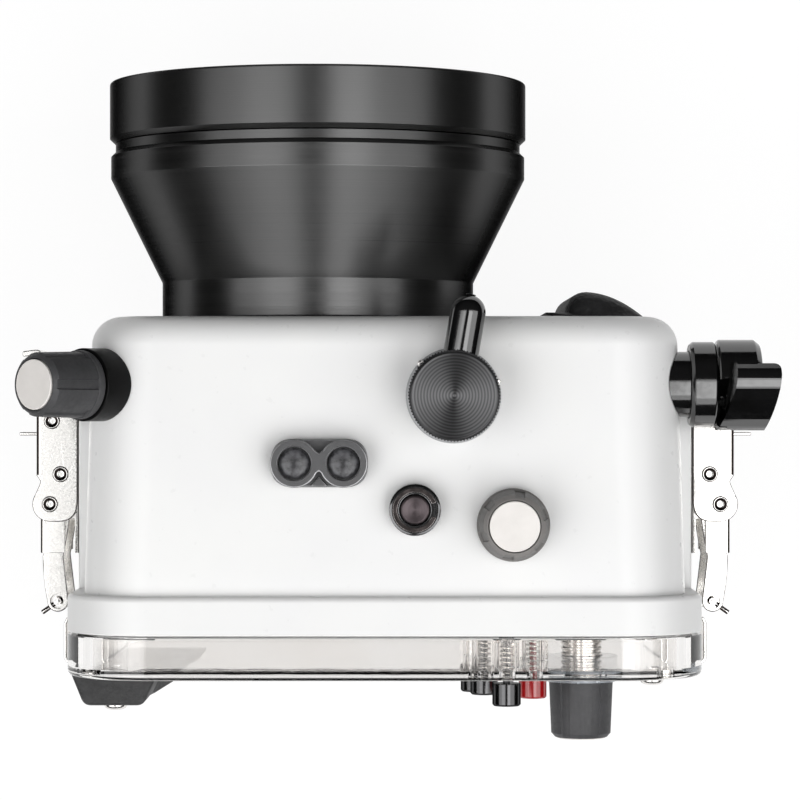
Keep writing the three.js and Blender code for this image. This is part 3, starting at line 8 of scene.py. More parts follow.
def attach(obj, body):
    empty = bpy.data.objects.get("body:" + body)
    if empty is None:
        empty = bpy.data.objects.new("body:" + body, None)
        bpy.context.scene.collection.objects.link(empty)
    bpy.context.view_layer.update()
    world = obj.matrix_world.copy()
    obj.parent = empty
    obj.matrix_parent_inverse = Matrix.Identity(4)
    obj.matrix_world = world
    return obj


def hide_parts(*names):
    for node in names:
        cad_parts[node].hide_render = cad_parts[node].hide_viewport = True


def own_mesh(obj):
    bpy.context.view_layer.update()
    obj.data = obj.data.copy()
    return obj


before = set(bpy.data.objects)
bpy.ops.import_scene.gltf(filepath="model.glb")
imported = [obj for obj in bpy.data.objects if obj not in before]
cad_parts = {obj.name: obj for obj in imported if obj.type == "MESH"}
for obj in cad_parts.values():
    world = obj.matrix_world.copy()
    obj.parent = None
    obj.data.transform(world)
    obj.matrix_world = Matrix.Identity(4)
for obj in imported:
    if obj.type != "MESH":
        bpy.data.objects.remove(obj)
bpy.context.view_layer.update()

# Lengths are in millimetres and become metres where a mesh is made
MM = 0.001
GAP = 0.3
QUARTER = pi / 2
FULL = 2 * pi

# Shell, flange and door
AXIS_Z = 66.0
TOP_Z = 126.0
SHELL_FRONT_Y = 43.3
SHELL_FRONT_WIDTH = 164.0
SHELL_REAR_WIDTH = 168.6
SHELL_HEIGHT = 120.0
SHELL_EDGE = 20.0
SHELL_NOSE = 8.0
SHELL_WALL = 4.5
FLANGE_WIDTH = 178.3
FLANGE_HEIGHT = 126.0
FLANGE_CORNER = 24.0
FLANGE_FRONT_Y = -34.1
FLANGE_REAR_Y = -44.8
DOOR_FRONT_Y = -45.5
DOOR_REAR_Y = -57.1
DOOR_RIM = 7.0
PAD_FACE = 88.3

# Places of the controls
PORT_X = -19.8
TILT = (-77.1, 24.2, 118.2)
TILT_ANGLE = 50.0
SHUTTER_Y = 24.3
SHUTTER_Z = 108.6
LEVER = (18.95, 21.2)
LEVER_ANGLE = 9.6
BUTTON = (8.4, -10.05)
DIAL = (35.35, -14.2)
SOCKETS = (-17.85, 2.7)
REAR_BUTTONS = [(26.2, 64.0), (28.8, 73.7), (34.2, 107.7), (42.5, 84.6)]
SET_SCREWS = [(94.1, 20.8), (95.8, 21.4)]
REAR_KNOB = (57.5, 66.0)
REST_SCREW = (-76.3, 99)
DOOR_SCREW = (75, 108)
SHAFT_BORE = 2.59
SHAFT = 2.5
STEEL = 1.1

# Camera straight above the housing, as the photograph was taken
CAMERA_AT = (4.3, 20, 977.8)
CAMERA_LENS = 139.5
CAMERA_FILM = 36


# Nodes, colours and patterns

def linear(hex_code):
    """sRGB hex to linear colour."""
    channels = [int(hex_code[i:i + 2], 16) / 255 for i in (0, 2, 4)]
    return [c / 12.92 if c <= 0.04045 else ((c + 0.055) / 1.055) ** 2.4 for c in channels] + [1.0]


def add(tree, kind, inputs=None, **settings):
    """One shader node with its settings, and its inputs as values or as links."""
    made = tree.nodes.new("ShaderNode" + kind)
    for key, value in settings.items():
        setattr(made, key, value)
    for socket, value in (inputs or {}).items():
        if isinstance(value, bpy.types.NodeSocket):
            tree.links.new(value, made.inputs[socket])
        else:
            made.inputs[socket].default_value = value
    return made


def maths(tree, operation, first, second=0.0):
    """The result of one sum on two values or links."""
    return add(tree, "Math", {0: first, 1: second}, operation=operation).outputs[0]


class Finish:
    """A material on the Principled shader, with its patterns in millimetres of the piece itself."""

    def __init__(self, name, slot, sockets):
        self.material = bpy.data.materials.new(name)
        self.material.use_nodes = True
        self.tree = self.material.node_tree
        self.tree.nodes.clear()
        self.shader = add(self.tree, "BsdfPrincipled", sockets)
        end = add(self.tree, "OutputMaterial")
        self.tree.links.new(self.shader.outputs["BSDF"], end.inputs["Surface"])
        self.place = add(self.tree, "TexCoord")
        self.mm = self.stretched(self.place.outputs["Object"], 1000, 1000, 1000)
        self.normal = None

    def stretched(self, where, x, y, z):
        """A place squeezed or drawn out along each axis."""
        return add(self.tree, "VectorMath", {0: where, 1: (x, y, z)}, operation="MULTIPLY").outputs[0]

    def noise(self, size, detail=3.0, rough=0.55, where=None):
        """Soft noise whose blotches are about size millimetres wide."""
        inputs = {"Vector": where or self.mm, "Scale": 1 / size, "Detail": detail, "Roughness": rough}
        return add(self.tree, "TexNoise", inputs).outputs["Fac"]

    def pattern(self, source):
        """What a function makes of this finish, or noise of that size, detail and roughness."""
        return source(self) if callable(source) else self.noise(*source)

    def ranged(self, value, low, high, source_low=0.3, source_high=0.7):
        return add(self.tree, "MapRange", {
            0: value, 1: source_low, 2: source_high, 3: low, 4: high}).outputs[0]

    def tinted(self, value, first, second, low=0.35, high=0.65):
        """Base colour that runs between two hex colours as value rises."""
        inputs = {0: self.ranged(value, 0, 1, low, high), 6: linear(first), 7: linear(second)}
        mixed = add(self.tree, "Mix", inputs, data_type="RGBA")
        self.tree.links.new(mixed.outputs[2], self.shader.inputs["Base Color"])

    def roughened(self, value, low, high):
        self.tree.links.new(self.ranged(value, low, high), self.shader.inputs["Roughness"])

    def bumped(self, value, depth):
        """Relief that is depth millimetres high, on top of any relief before it."""
        inputs = {"Height": value, "Distance": depth * MM, "Strength": 1.0}
        if self.normal:
            inputs["Normal"] = self.normal
        self.normal = add(self.tree, "Bump", inputs).outputs[0]
        self.tree.links.new(self.normal, self.shader.inputs["Normal"])

    def rims(self):
        """0 on faces square to the piece's own Z axis and along it, 1 halfway round the edge between them,
        where finishes paint edge highlights and dark reflections.
        """
        up = add(self.tree, "SeparateXYZ", {0: self.place.outputs["Normal"]}).outputs[2]
        square = maths(self.tree, "MULTIPLY", up, up)
        both = maths(self.tree, "MULTIPLY", square, maths(self.tree, "SUBTRACT", 1.0, square))
        return maths(self.tree, "MULTIPLY", both, 4.0)

    def from_axis(self):
        """Distance from the piece's own turning axis and height along it, in millimetres."""
        parts = add(self.tree, "SeparateXYZ", {0: self.mm}).outputs
        flat = add(self.tree, "CombineXYZ", {0: parts[0], 1: parts[1]})
        length = add(self.tree, "VectorMath", {0: flat.outputs[0]}, operation="LENGTH")
        return length.outputs["Value"], parts[2]

    def ring_wave(self, pitch):
        """Waves at one pitch out from the turning axis."""
        return maths(self.tree, "SINE", maths(self.tree, "MULTIPLY", self.from_axis()[0], FULL / pitch))

    def lathe_lines(self, pitch):
        """Uneven fine lines round the turning axis, as a cutting tool leaves them."""
        radius, height = self.from_axis()
        line = add(self.tree, "CombineXYZ", {0: radius, 1: height})
        return self.noise(pitch, 3, 0.7, line.outputs[0])

    def thread_lines(self):
        """Fine lines square to the turning axis, as a thread cutter leaves them."""
        return self.noise(0.3, 3, 0.55, self.stretched(self.mm, 0.15, 0.15, 1))

    def pebbles(self, grain):
        """Rounded cells, as they are cut into a mould."""
        return add(self.tree, "TexVoronoi", {"Vector": self.mm, "Scale": 1 / grain}).outputs["Distance"]


def made_of(name, slot, sockets, tint, rough, *reliefs):
    """Material whose colour, roughness and relief each follow a noise or another pattern."""
    made = Finish(name, slot, sockets)
    made.tinted(made.pattern(tint[0]), *tint[1:])
    made.roughened(made.pattern(rough[0]), *rough[1:])
    for source, depth in reliefs:
        made.bumped(made.pattern(source), depth)
    return made.material


def anodised(name, first, second, low, high, pitch=0.22, sheen=0.6, metallic=1.0, rings=0.0,
             slot="black_anodised_aluminium"):
    """Turned aluminium under a dyed oxide: fine tool lines, and dark flanks where the dye is metallic."""
    made = Finish(name, slot, {
        "Metallic": metallic, "IOR": 1.5 if metallic else 1.85, "Anisotropic": sheen,
        "Anisotropic Rotation": 0.25, "Specular Tint": DYED_EDGE if metallic else linear("ffffff")})
    tangent = add(made.tree, "Tangent", direction_type="RADIAL", axis="Z")
    made.tree.links.new(tangent.outputs[0], made.shader.inputs["Tangent"])
    lines = made.lathe_lines(pitch)
    if rings:
        made.tinted(made.ring_wave(rings), first, second, -0.8, 0.8)
    else:
        made.tinted(lines, first, second, 0.3, 0.7)
    made.roughened(lines, low, high)
    made.bumped(lines, 0.012)
    return made.material


def soft_rubber(name, grain, depth):
    """Moulded rubber: matt, with the pebbled grain that is cut into the mould."""
    return made_of(name, "black_rubber", {"Roughness": 0.7, "IOR": 1.45}, ((4, 4), "161617", "222223"),
                   ((1.4, 3), 0.55, 0.75), (lambda made: made.pebbles(grain), depth))


def grained_nylon(name, slot, first, second, grain, depth, low, high):
    """Spark-textured moulded nylon: a fine even grain that breaks up the highlight."""
    return made_of(name, slot, {"Roughness": 0.55, "IOR": 1.53},
                   ((7, 4), first, second), ((1.1, 3), low, high), ((grain, 2, 0.7), depth))


def fine_lines(made):
    return made.lathe_lines(0.4)


# Materials

DYED_EDGE = linear("595959")

# Glossy moulded ABS: even white, a soft sheen and a faint ripple from the mould
WHITE = made_of("white_moulded_abs", "shell_white_abs", {"Roughness": 0.32, "IOR": 1.46},
                ((42, 2), "efefef", "f2f2f1"), ((3, 3), 0.27, 0.37), ((9, 2), 0.015), ((0.5, 2), 0.002))

# Pale grey moulded insert: satin, with a fine grain and a breath of dirt
PALE = made_of("pale_grey_insert_abs", "knob_pale_insert", {"Roughness": 0.5, "IOR": 1.5},
               ((5, 4), "e9e5e1", "efebe7"), ((0.9, 3), 0.42, 0.58), ((0.25, 2), 0.01))

# Polished black acetal: a deep black that mirrors the lamps, with faint handling marks
ACETAL = made_of("polished_black_acetal", "black_gloss_acetal", {"Roughness": 0.16, "IOR": 1.95},
                 ((14, 3), "060606", "0b0b0c"), ((2.2, 4), 0.07, 0.15), ((1.2, 2), 0.002))

# Black acetal dulled by handling: it stays nearly black beside the white shell
DULL_ACETAL = made_of("dull_black_acetal", "black_gloss_acetal", {"Roughness": 0.35, "IOR": 1.22},
                      ((6, 3), "0a0a0a", "0f0f10"), ((1.5, 3), 0.28, 0.42), ((0.8, 2), 0.003))

# Spark-textured nylon: dark grey and even on the knobs, nearly black and coarser on the thumb rest
NYLON = grained_nylon("moulded_black_nylon", "knob_black_nylon", "38383a", "424244", 0.32, 0.03, 0.48, 0.66)
REST_NYLON = grained_nylon("grained_black_thumb_rest", "black_rubber", "1d1d1e", "29292a",
                           0.7, 0.09, 0.5, 0.7)

# Moulded nylon gone grey in the sun: a dull even grey, lighter on its edges, partly from rubbing and partly a
# painted highlight
DIAL_NYLON = made_of("worn_black_nylon_painted_edge_highlight", "knob_black_nylon", {"Roughness": 0.55, "IOR": 1.5},
                     (Finish.rims, "696765", "858280", 0.1, 0.8), ((1.1, 3), 0.45, 0.62),
                     ((0.32, 2, 0.7), 0.02))

# Turned and dyed aluminium: black on the port, ringed on the disc, warmer or brighter on the caps, red on one
ANODISED = anodised("black_anodised_aluminium", "5a5a5a", "636363", 0.27, 0.42)
DISC_METAL = anodised("black_anodised_disc", "484849", "616162", 0.26, 0.4, 0.3, 0.85, 1.0, 0.84)
CAP_METAL = anodised("violet_black_anodised_cap", "524b4d", "5c5456", 0.3, 0.44, 0.3)
CAP_BLACK = anodised("bright_black_anodised_cap", "515152", "5a5a5b", 0.12, 0.22, 0.25)
FLANGE_METAL = anodised("grey_anodised_flange", "a4a5a7", "b0b1b3", 0.3, 0.44, 0.25, 0.6, 0.0)
RED = anodised("red_anodised_aluminium", "8e060c", "a60a12", 0.14, 0.24, 0.25, 0.6, 0.0, 0.0,
               "red_anodised_aluminium")

# Bead-blasted aluminium under black oxide: an even dark grey, light on its edges, partly rubbed and partly a
# painted highlight
BLASTED = made_of("blasted_black_anodised", "black_anodised_aluminium",
                  {"Metallic": 1.0, "Roughness": 0.45, "Specular Tint": DYED_EDGE},
                  (Finish.rims, "5c5c5d", "c4c4c6", 0.05, 0.4), ((0.5, 3), 0.38, 0.5), ((0.22, 2), 0.006))

# Polished guard ring in black oxide: dark faces, with bright lines where its rims catch the lamps
RUBBED = made_of("rubbed_black_anodised", "black_anodised_aluminium",
                 {"Metallic": 1.0, "Roughness": 0.16, "Specular Tint": linear("8c8c8c")},
                 (fine_lines, "6c6c6d", "7a7a7b"), (fine_lines, 0.12, 0.2), (fine_lines, 0.002))

# Turned and drawn stainless steel: bright and near-mirror, with a fine even sparkle
STAINLESS = made_of("bright_stainless_steel", "stainless_steel", {"Metallic": 1.0, "Roughness": 0.2},
                    ((12, 2), "e6e3e0", "f0eeec"), ((0.6, 3, 0.7), 0.14, 0.3), ((0.45, 2), 0.0016))

# Stamped stainless sheet, tumbled bright: white faces with a fine sparkle, and a painted dark reflection on
# its folds and edges
SHEET = made_of("tumbled_stainless_painted_dark_folds", "stainless_steel", {"Metallic": 1.0, "Roughness": 0.2},
                (Finish.rims, "f3f1ee", "3a3331", 0.04, 0.3), ((0.6, 3, 0.7), 0.14, 0.32), ((0.4, 2), 0.0022))

# Blued spring steel: dark and glossy, with a painted highlight on its edges
BLUED = made_of("blued_spring_steel", "stainless_steel", {"Metallic": 1.0, "Roughness": 0.25},
                (Finish.rims, "5c5655", "c4bfbc", 0.1, 0.5), ((2, 3), 0.16, 0.26), ((1.5, 2), 0.001))

# Machined brass: warm metal with thread-cutting lines
BRASS = made_of("turned_brass", "brass_insert", {"Metallic": 1.0, "Roughness": 0.3},
                ((3, 3), "a98f52", "bda468"), (Finish.thread_lines, 0.22, 0.4), (Finish.thread_lines, 0.01))

# Moulded rubber: matt and finely pebbled on the seals, coarsely on the finger grip
RUBBER = soft_rubber("moulded_black_rubber", 0.8, 0.12)
GRIP_RUBBER = soft_rubber("pebbled_grip_rubber", 1.5, 0.3)

# Moulded clear polycarbonate: faintly warm, clear as glass, with slight mould ripple
CLEAR = made_of("clear_moulded_polycarbonate", "clear_acrylic",
                {"Roughness": 0.02, "IOR": 1.48, "Transmission Weight": 1.0},
                ((30, 2), "f9f7f5", "fbfaf9"), ((2.5, 3), 0.0, 0.02), ((12, 2), 0.008))

# Turned polycarbonate left unpolished: milky, with the lathe's lines
FROSTED = made_of("turned_cloudy_polycarbonate", "clear_acrylic",
                  {"Roughness": 0.3, "IOR": 1.5, "Transmission Weight": 0.7},
                  ((4, 2), "d6dde4", "e2e8ee"), ((1.5, 3), 0.12, 0.3), ((0.3, 2), 0.004))

# Polished optical glass: hard clean reflections and a cool cast from its coating
GLASS = made_of("coated_port_glass", "port_glass",
                {"Roughness": 0.01, "IOR": 1.52, "Transmission Weight": 1.0},
                ((20, 2), "e9eff0", "f2f6f6"), ((3, 3), 0.0, 0.03))

# Dark smoked acrylic dome: dark grey, its face mottled by fine scratches
LENS = made_of("smoked_acrylic", "clear_acrylic", {"Roughness": 0.3, "IOR": 1.5},
               ((1.6, 4), "38383a", "5c5c5f", 0.4, 0.6), ((1.5, 3), 0.22, 0.42), ((1.3, 3), 0.05))


# Places

def facing(way, x=0.0, y=0.0, z=0.0):
    """Where a piece drawn about +Z goes, and which way its top points there."""
    turns = {
        "up": Matrix.Identity(4),
        "front": Matrix.Rotation(-QUARTER, 4, "X"),
        "rear": Matrix.Rotation(QUARTER, 4, "X"),
        "right": Matrix.Rotation(QUARTER, 4, "Y"),
        "left": Matrix.Rotation(-QUARTER, 4, "Y"),
        "tilted": Matrix.Rotation(radians(TILT_ANGLE - 90), 4, "Y"),
    }
    return Matrix.Translation((x * MM, y * MM, z * MM)) @ turns[way]


def moved(place, x=0.0, z=0.0):
    return place @ Matrix.Translation((x * MM, 0, z * MM))


# Outlines

def angles(first, last, count, span=QUARTER):
    """Angles of those steps, both included, where count steps make up the span."""
    return [i / count * span for i in range(first, last + 1)]


def rounded(points, radius, loop=True, steps=4):
    """Takes the corners off a line of 2D points; a third number in a point is its own radius."""
    line = []
    count = len(points)
    for i, point in enumerate(points):
        here = Vector(point[:2])
        own = point[2] if len(point) > 2 else radius
        if own <= 0 or (not loop and i in (0, count - 1)):
            line.append(here)
            continue
        back = Vector(points[i - 1][:2]) - here
        ahead = Vector(points[(i + 1) % count][:2]) - here
        angle = back.angle(ahead)
        if angle > radians(176):
            line.append(here)
            continue
        reach = min(own / tan(angle / 2), 0.48 * back.length, 0.48 * ahead.length)
        first = here + back.normalized() * reach
        last = here + ahead.normalized() * reach
        for s in range(steps + 1):
            t = s / steps
            line.append((1 - t) ** 2 * first + 2 * t * (1 - t) * here + t * t * last)
    return [tuple(p) for p in line]


def arc(cx, cy, radius, start, end, steps=16):
    return [(cx + radius * cos(start + (end - start) * i / steps),
             cy + radius * sin(start + (end - start) * i / steps)) for i in range(steps + 1)]


def curve(first, bend, last, steps=12):
    return [tuple((1 - t) ** 2 * Vector(first) + 2 * t * (1 - t) * Vector(bend) + t * t * Vector(last))
            for t in (i / steps for i in range(steps + 1))]


def round_rect(x0, x1, y0, y1, radius, steps=10):
    return rounded([(x0, y0), (x1, y0), (x1, y1), (x0, y1)], radius, True, steps)


def corner_ring(width, height, radius, steps=18):
    """Rectangle with truly round corners, about the shell's middle, in the XZ plane."""
    ring = []
    for turn, (sx, sz) in enumerate([(1, 1), (-1, 1), (-1, -1), (1, -1)]):
        cx = sx * (width / 2 - radius)
        cz = AXIS_Z + sz * (height / 2 - radius)
        ring += arc(cx, cz, radius, turn * QUARTER, (turn + 1) * QUARTER, steps)
    return ring


# Meshes

def placed(name, data):
    """New object in the scene."""
    made = bpy.data.objects.new(name, data)
    bpy.context.scene.collection.objects.link(made)
    return made


def mended(mesh, close, short=0.0):
    """Merges points that close together, takes out edges that short and turns every face outward."""
    form = bmesh.new()
    form.from_mesh(mesh)
    bmesh.ops.remove_doubles(form, verts=form.verts, dist=close)
    if short:
        bmesh.ops.dissolve_degenerate(form, edges=form.edges, dist=short)
    bmesh.ops.recalc_face_normals(form, faces=form.faces)
    form.to_mesh(mesh)
    form.free()


def solid(verts, faces, place=None):
    """Mesh object from points in millimetres, closed and facing outward."""
    mesh = bpy.data.meshes.new("piece")
    mesh.from_pydata([Vector(v) * MM for v in verts], [], faces)
    mended(mesh, 0.0005 * MM)
    made = placed("piece", mesh)
    if place is not None:
        made.matrix_world = place
    return made


def skin(rings, place=None):
    """Closed skin through rings of the same count, with flat ends."""
    count = len(rings[0])
    verts = [p for ring in rings for p in ring]
    last = len(verts) - count
    faces = []
    for low in range(0, last, count):
        high = low + count
        faces += [(low + i, low + (i + 1) % count, high + (i + 1) % count, high + i) for i in range(count)]
    faces.append(tuple(range(count)))
    faces.append(tuple(range(last, last + count)))
    return solid(verts, faces, place)


def lathe(profile, place=None, sides=96, loop=True):
    """Revolved form about +Z from a closed line of (radius, height), or an open one that ends on the axis."""
    verts, faces, rows = [], [], []
    for radius, height in profile:
        start = len(verts)
        if radius < 1e-6:
            verts.append((0, 0, height))
            rows.append([start])
        else:
            verts += [(radius * cos(FULL * i / sides), radius * sin(FULL * i / sides), height)
                      for i in range(sides)]
            rows.append(list(range(start, start + sides)))
    pairs = list(zip(rows, rows[1:]))
    if loop:
        pairs.append((rows[-1], rows[0]))
    for low, high in pairs:
        if len(low) == 1 and len(high) == 1:
            continue
        for i in range(sides):
            j = (i + 1) % sides
            corners = [low[i % len(low)], low[j % len(low)], high[j % len(high)], high[i % len(high)]]
            faces.append(tuple(dict.fromkeys(corners)))
    return solid(verts, faces, place)


def turned(points, place=None, sides=96, edge=0.25, steps=3):
    """Revolved form with its corners eased."""
    open_line = points[0][0] == 0
    return lathe(rounded(points, edge, not open_line, steps), place, sides, not open_line)


def rod(radius, low, high, place=None, sides=64, edge=0.0):
    return turned([(0, low), (radius, low), (radius, high), (0, high)], place, sides, edge)


def tube(outer, inner, low, high, place=None, sides=64, edge=0.0):
    return turned([(inner, low), (outer, low), (outer, high), (inner, high)], place, sides, edge)


def prism(outline, low, high, place=None):
    """Straight form between two heights from a closed outline."""
    outline = [p[:2] for p in outline]
    return skin([[(x, y, low) for x, y in outline], [(x, y, high) for x, y in outline]], place)


def eased(outline, low, high, place=None, edge=0.36):
    """Straight form whose two rims are rounded over."""
    piece = prism(outline, low, high, place)
    round_over(piece, edge, 2)
    settled(piece)
    mended(piece.data, 0.004 * MM, 0.002 * MM)
    return piece


def box(x0, x1, y0, y1, z0, z1):
    return prism([(x0, y0), (x1, y0), (x1, y1), (x0, y1)], z0, z1)


def round_over(piece, edge, segments, sharp=32.0):
    """Rounds the edges that are sharper than that many degrees."""
    ease = piece.modifiers.new("ease", "BEVEL")
    ease.width = edge * MM
    ease.segments = segments
    ease.limit_method = "ANGLE"
    ease.angle_limit = radians(sharp)
    ease.use_clamp_overlap = True


def settled(piece):
    """Makes the modifiers of a piece part of its mesh."""
    bpy.context.view_layer.update()
    seen = piece.evaluated_get(bpy.context.evaluated_depsgraph_get())
    mesh = bpy.data.meshes.new_from_object(seen)
    piece.modifiers.clear()
    piece.data = mesh
    return piece


def combined(base, operation, tools):
    """Works each tool into the base in turn."""
    for tool in tools:
        step = base.modifiers.new("step", "BOOLEAN")
        step.operation = operation
        step.solver = "EXACT"
        step.object = tool
        settled(base)
        bpy.data.objects.remove(tool)
    return base


def join(base, *tools):
    return combined(base, "UNION", tools)


def cut(base, *tools):
    return combined(base, "DIFFERENCE", tools)


def trim(base, *tools):
    return combined(base, "INTERSECT", tools)


CREASE = 40


def finished(piece, name, material, body, node=None, edge=0.0, sharp=32.0, segments=2):
    """Eases the edges, smooths the skin, and gives the piece its name, finish and body."""
    if edge:
        round_over(piece, edge, segments, sharp)
        settled(piece)
    mesh = piece.data
    mesh.polygons.foreach_set("use_smooth", [True] * len(mesh.polygons))
    mesh.set_sharp_from_angle(angle=radians(CREASE))
    flat = piece.modifiers.new("flat_faces_first", "WEIGHTED_NORMAL")
    flat.keep_sharp = True
    flat.weight = 80
    settled(piece)
    piece.data.materials.clear()
    piece.data.materials.append(material)
    piece.name = name
    piece.data.name = name
    if node:
        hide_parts(node)
    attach(piece, body)
    return piece


# Shell with its flange, latch pads and base pad

def shell_width(y):
    share = (SHELL_FRONT_Y - y) / (SHELL_FRONT_Y - FLANGE_FRONT_Y)
    return SHELL_FRONT_WIDTH + share * (SHELL_REAR_WIDTH - SHELL_FRONT_WIDTH)


def at_depth(y, width, height, radius):
    """Ring of the shell's outline at one depth from front to rear."""
    return [(x, y, z) for x, z in corner_ring(width, height, radius)]


def shell_form(grow=0.0):
    rings = []
    steps = 14
    for i in range(steps + 1):
        angle = i / steps * QUARTER
        inset = SHELL_NOSE * (1 - sin(angle)) - grow
        y = SHELL_FRONT_Y - SHELL_NOSE * (1 - cos(angle)) + grow
        rings.append(at_depth(y, shell_width(y) - 2 * inset, SHELL_HEIGHT - 2 * inset, SHELL_EDGE - inset))
    rear = FLANGE_FRONT_Y - 2
    rings.append(at_depth(rear, shell_width(rear) + 2 * grow, SHELL_HEIGHT + 2 * grow, SHELL_EDGE + grow))
    return skin(rings)


def flange_ring(y, inset):
    return at_depth(y, FLANGE_WIDTH - 2 * inset, FLANGE_HEIGHT - 2 * inset, FLANGE_CORNER - inset)


def flange_band(outer_inset, inner_inset, y0, y1):
    outer = skin([flange_ring(y0, outer_inset), flange_ring(y1, outer_inset)])
    inner = skin([flange_ring(y0 - 1, inner_inset), flange_ring(y1 + 1, inner_inset)])
    return cut(outer, inner)


def latch_pad(side):
    outline = round_rect(-19, 19, -42.8, 18, 7)
    rings = [[(side * x, y, AXIS_Z + z) for z, y in rounded_rows] for x, rounded_rows in [
        (79.0, outline), (PAD_FACE - 1.2, outline),
        (PAD_FACE - 0.35, round_rect(-18.7, 18.7, -42.5, 17.7, 6.7)),
        (PAD_FACE, round_rect(-17.9, 17.9, -41.7, 16.9, 6))]]
    return skin(rings)


def housing_body():
    edge = 1.6
    flange = skin([flange_ring(FLANGE_FRONT_Y - edge * (1 - cos(a)), edge * (1 - sin(a)))
                   for a in angles(0, 6, 6)] +
                  [flange_ring(FLANGE_REAR_Y + 0.4, 0), flange_ring(FLANGE_REAR_Y, 0.4)])
    pad = skin([[(x, y, z) for x, y in round_rect(-48 + d, 48 - d, -34 + d, 39 - d, 9 - d)]
                for z, d in ((0, 1.2), (0.35, 0.35), (1.2, 0), (9, 0))])
    whole = join(shell_form(), flange, latch_pad(-1), latch_pad(1), pad)
    cavity = skin([at_depth(y, shell_width(y) - 2 * inset, SHELL_HEIGHT - 2 * inset, SHELL_EDGE - SHELL_WALL)
                   for y, inset in ((37.3, SHELL_WALL + 1.2), (36.1, SHELL_WALL), (-46.8, SHELL_WALL))])
    holes = [
        cavity,
        rod(43 + GAP, 35, 46, facing("front", PORT_X, 0, AXIS_Z), 128),
        rod(6 + GAP, 73, 92, facing("right", 0, SHUTTER_Y, SHUTTER_Z)),
        rod(5 + GAP, -19, 9, facing("tilted", *TILT)),
        rod(5 + GAP, -7, 3, facing("up", *LEVER, TOP_Z)),
        rod(5.6 + GAP, -7, 3, facing("up", *BUTTON, TOP_Z)),
        rod(5 + GAP, -7, 3, facing("up", *DIAL, TOP_Z)),
        rod(5 + GAP, -2, 5.5, facing("up", 0, 22, 0)),
        flange_band(2.6, 5.6, FLANGE_REAR_Y - 2, FLANGE_REAR_Y + 2.2),
    ]
    cut(whole, *holes)
    rails = [box(side * 26 - 3, side * 26 + 3, -30, 30, 9, 15.7) for side in (-1, 1)]
    join(whole, *rails)
    finished(whole, "shell", WHITE, "housing", "housing_body")


# Port: turned barrel, retaining ring and window

def port():
    place = facing("front", PORT_X, 0, AXIS_Z)
    barrel = [
        (39.5, 34.2), (43, 34.2), (43, 37.6, 0), (41.6, 37.6, 0), (41.6, 40.4, 0), (43, 40.4, 0),
        (43, 43.6, 0), (45.6, 43.6), (45.6, 54.2, 0.5), (60.6, 84.6, 0.5), (60.6, 90.9, 0.12),
        (59.25, 92.2, 0.12), (59.25, 94.7, 0.1), (54.6, 94.7), (54.6, 102.4), (50.5, 102.4), (50.5, 84.6, 3),
        (39.5, 54.2, 3),
    ]
    finished(turned(barrel, place, 192, 0.3), "port_barrel_turned", ANODISED, "housing", "port_barrel")
    ring = [
        (54.9, 95.0), (59.55, 95.0, 0.12), (60.95, 96.3, 0.12), (60.95, 112.4, 0.7), (54.0, 112.4, 0.3),
        (52.3, 110.7, 0.3), (52.3, 109.0), (54.9, 109.0),
    ]
    finished(turned(ring, place, 192, 0.3), "port_retaining_ring", ANODISED, "housing", "port_front_ring")
    window = [(0, 102.7), (54.6, 102.7, 0.5), (54.6, 108.7, 0.5), (0, 108.7)]
    finished(turned(window, place, 128), "port_glass_disc", GLASS, "housing", "port_window")
    seal = [(42.45 + 0.7 * cos(a), 39 + 0.7 * sin(a)) for a in angles(0, 15, 16, FULL)]
    finished(lathe(seal, place, 160), "port_spigot_seal", RUBBER, "housing", "port_seal")


# Finger grip on the front face

def front_grip():
    low, high, back = 29.0, 111.0, SHELL_FRONT_Y + GAP
    rings = []
    count = 40
    for i in range(count + 1):
        z = low + (high - low) * i / count
        reach = min(z - low, high - z)
        end = max(0.0, 1 - reach / 9)
        narrow = 6 * (1 - sqrt(max(0.0, 1 - end * end)))
        swell = 0.16 + 0.84 * sqrt(max(0.0, 1 - end * end))
        left, right, foot, peak = 45.4 + narrow, 72.8 - narrow, 50.8 + narrow * 0.6, 56.8
        edge, crest = back + 1.1 * swell, back + 6.9 * swell
        top = [(left, edge)]
        top += curve((foot, edge), (foot + 1.1, crest), (peak, crest), 8)
        top += curve((peak, crest), ((peak + right) / 2, back + 6.6 * swell), (right, back), 14)[1:]
        rings.append([(x, y, z) for x, y in [(left, back)] + top])
    grip = skin(rings)
    finished(grip, "finger_grip", GRIP_RUBBER, "housing", "front_grip", 0.35, 40)


# Twin optical sockets on the top

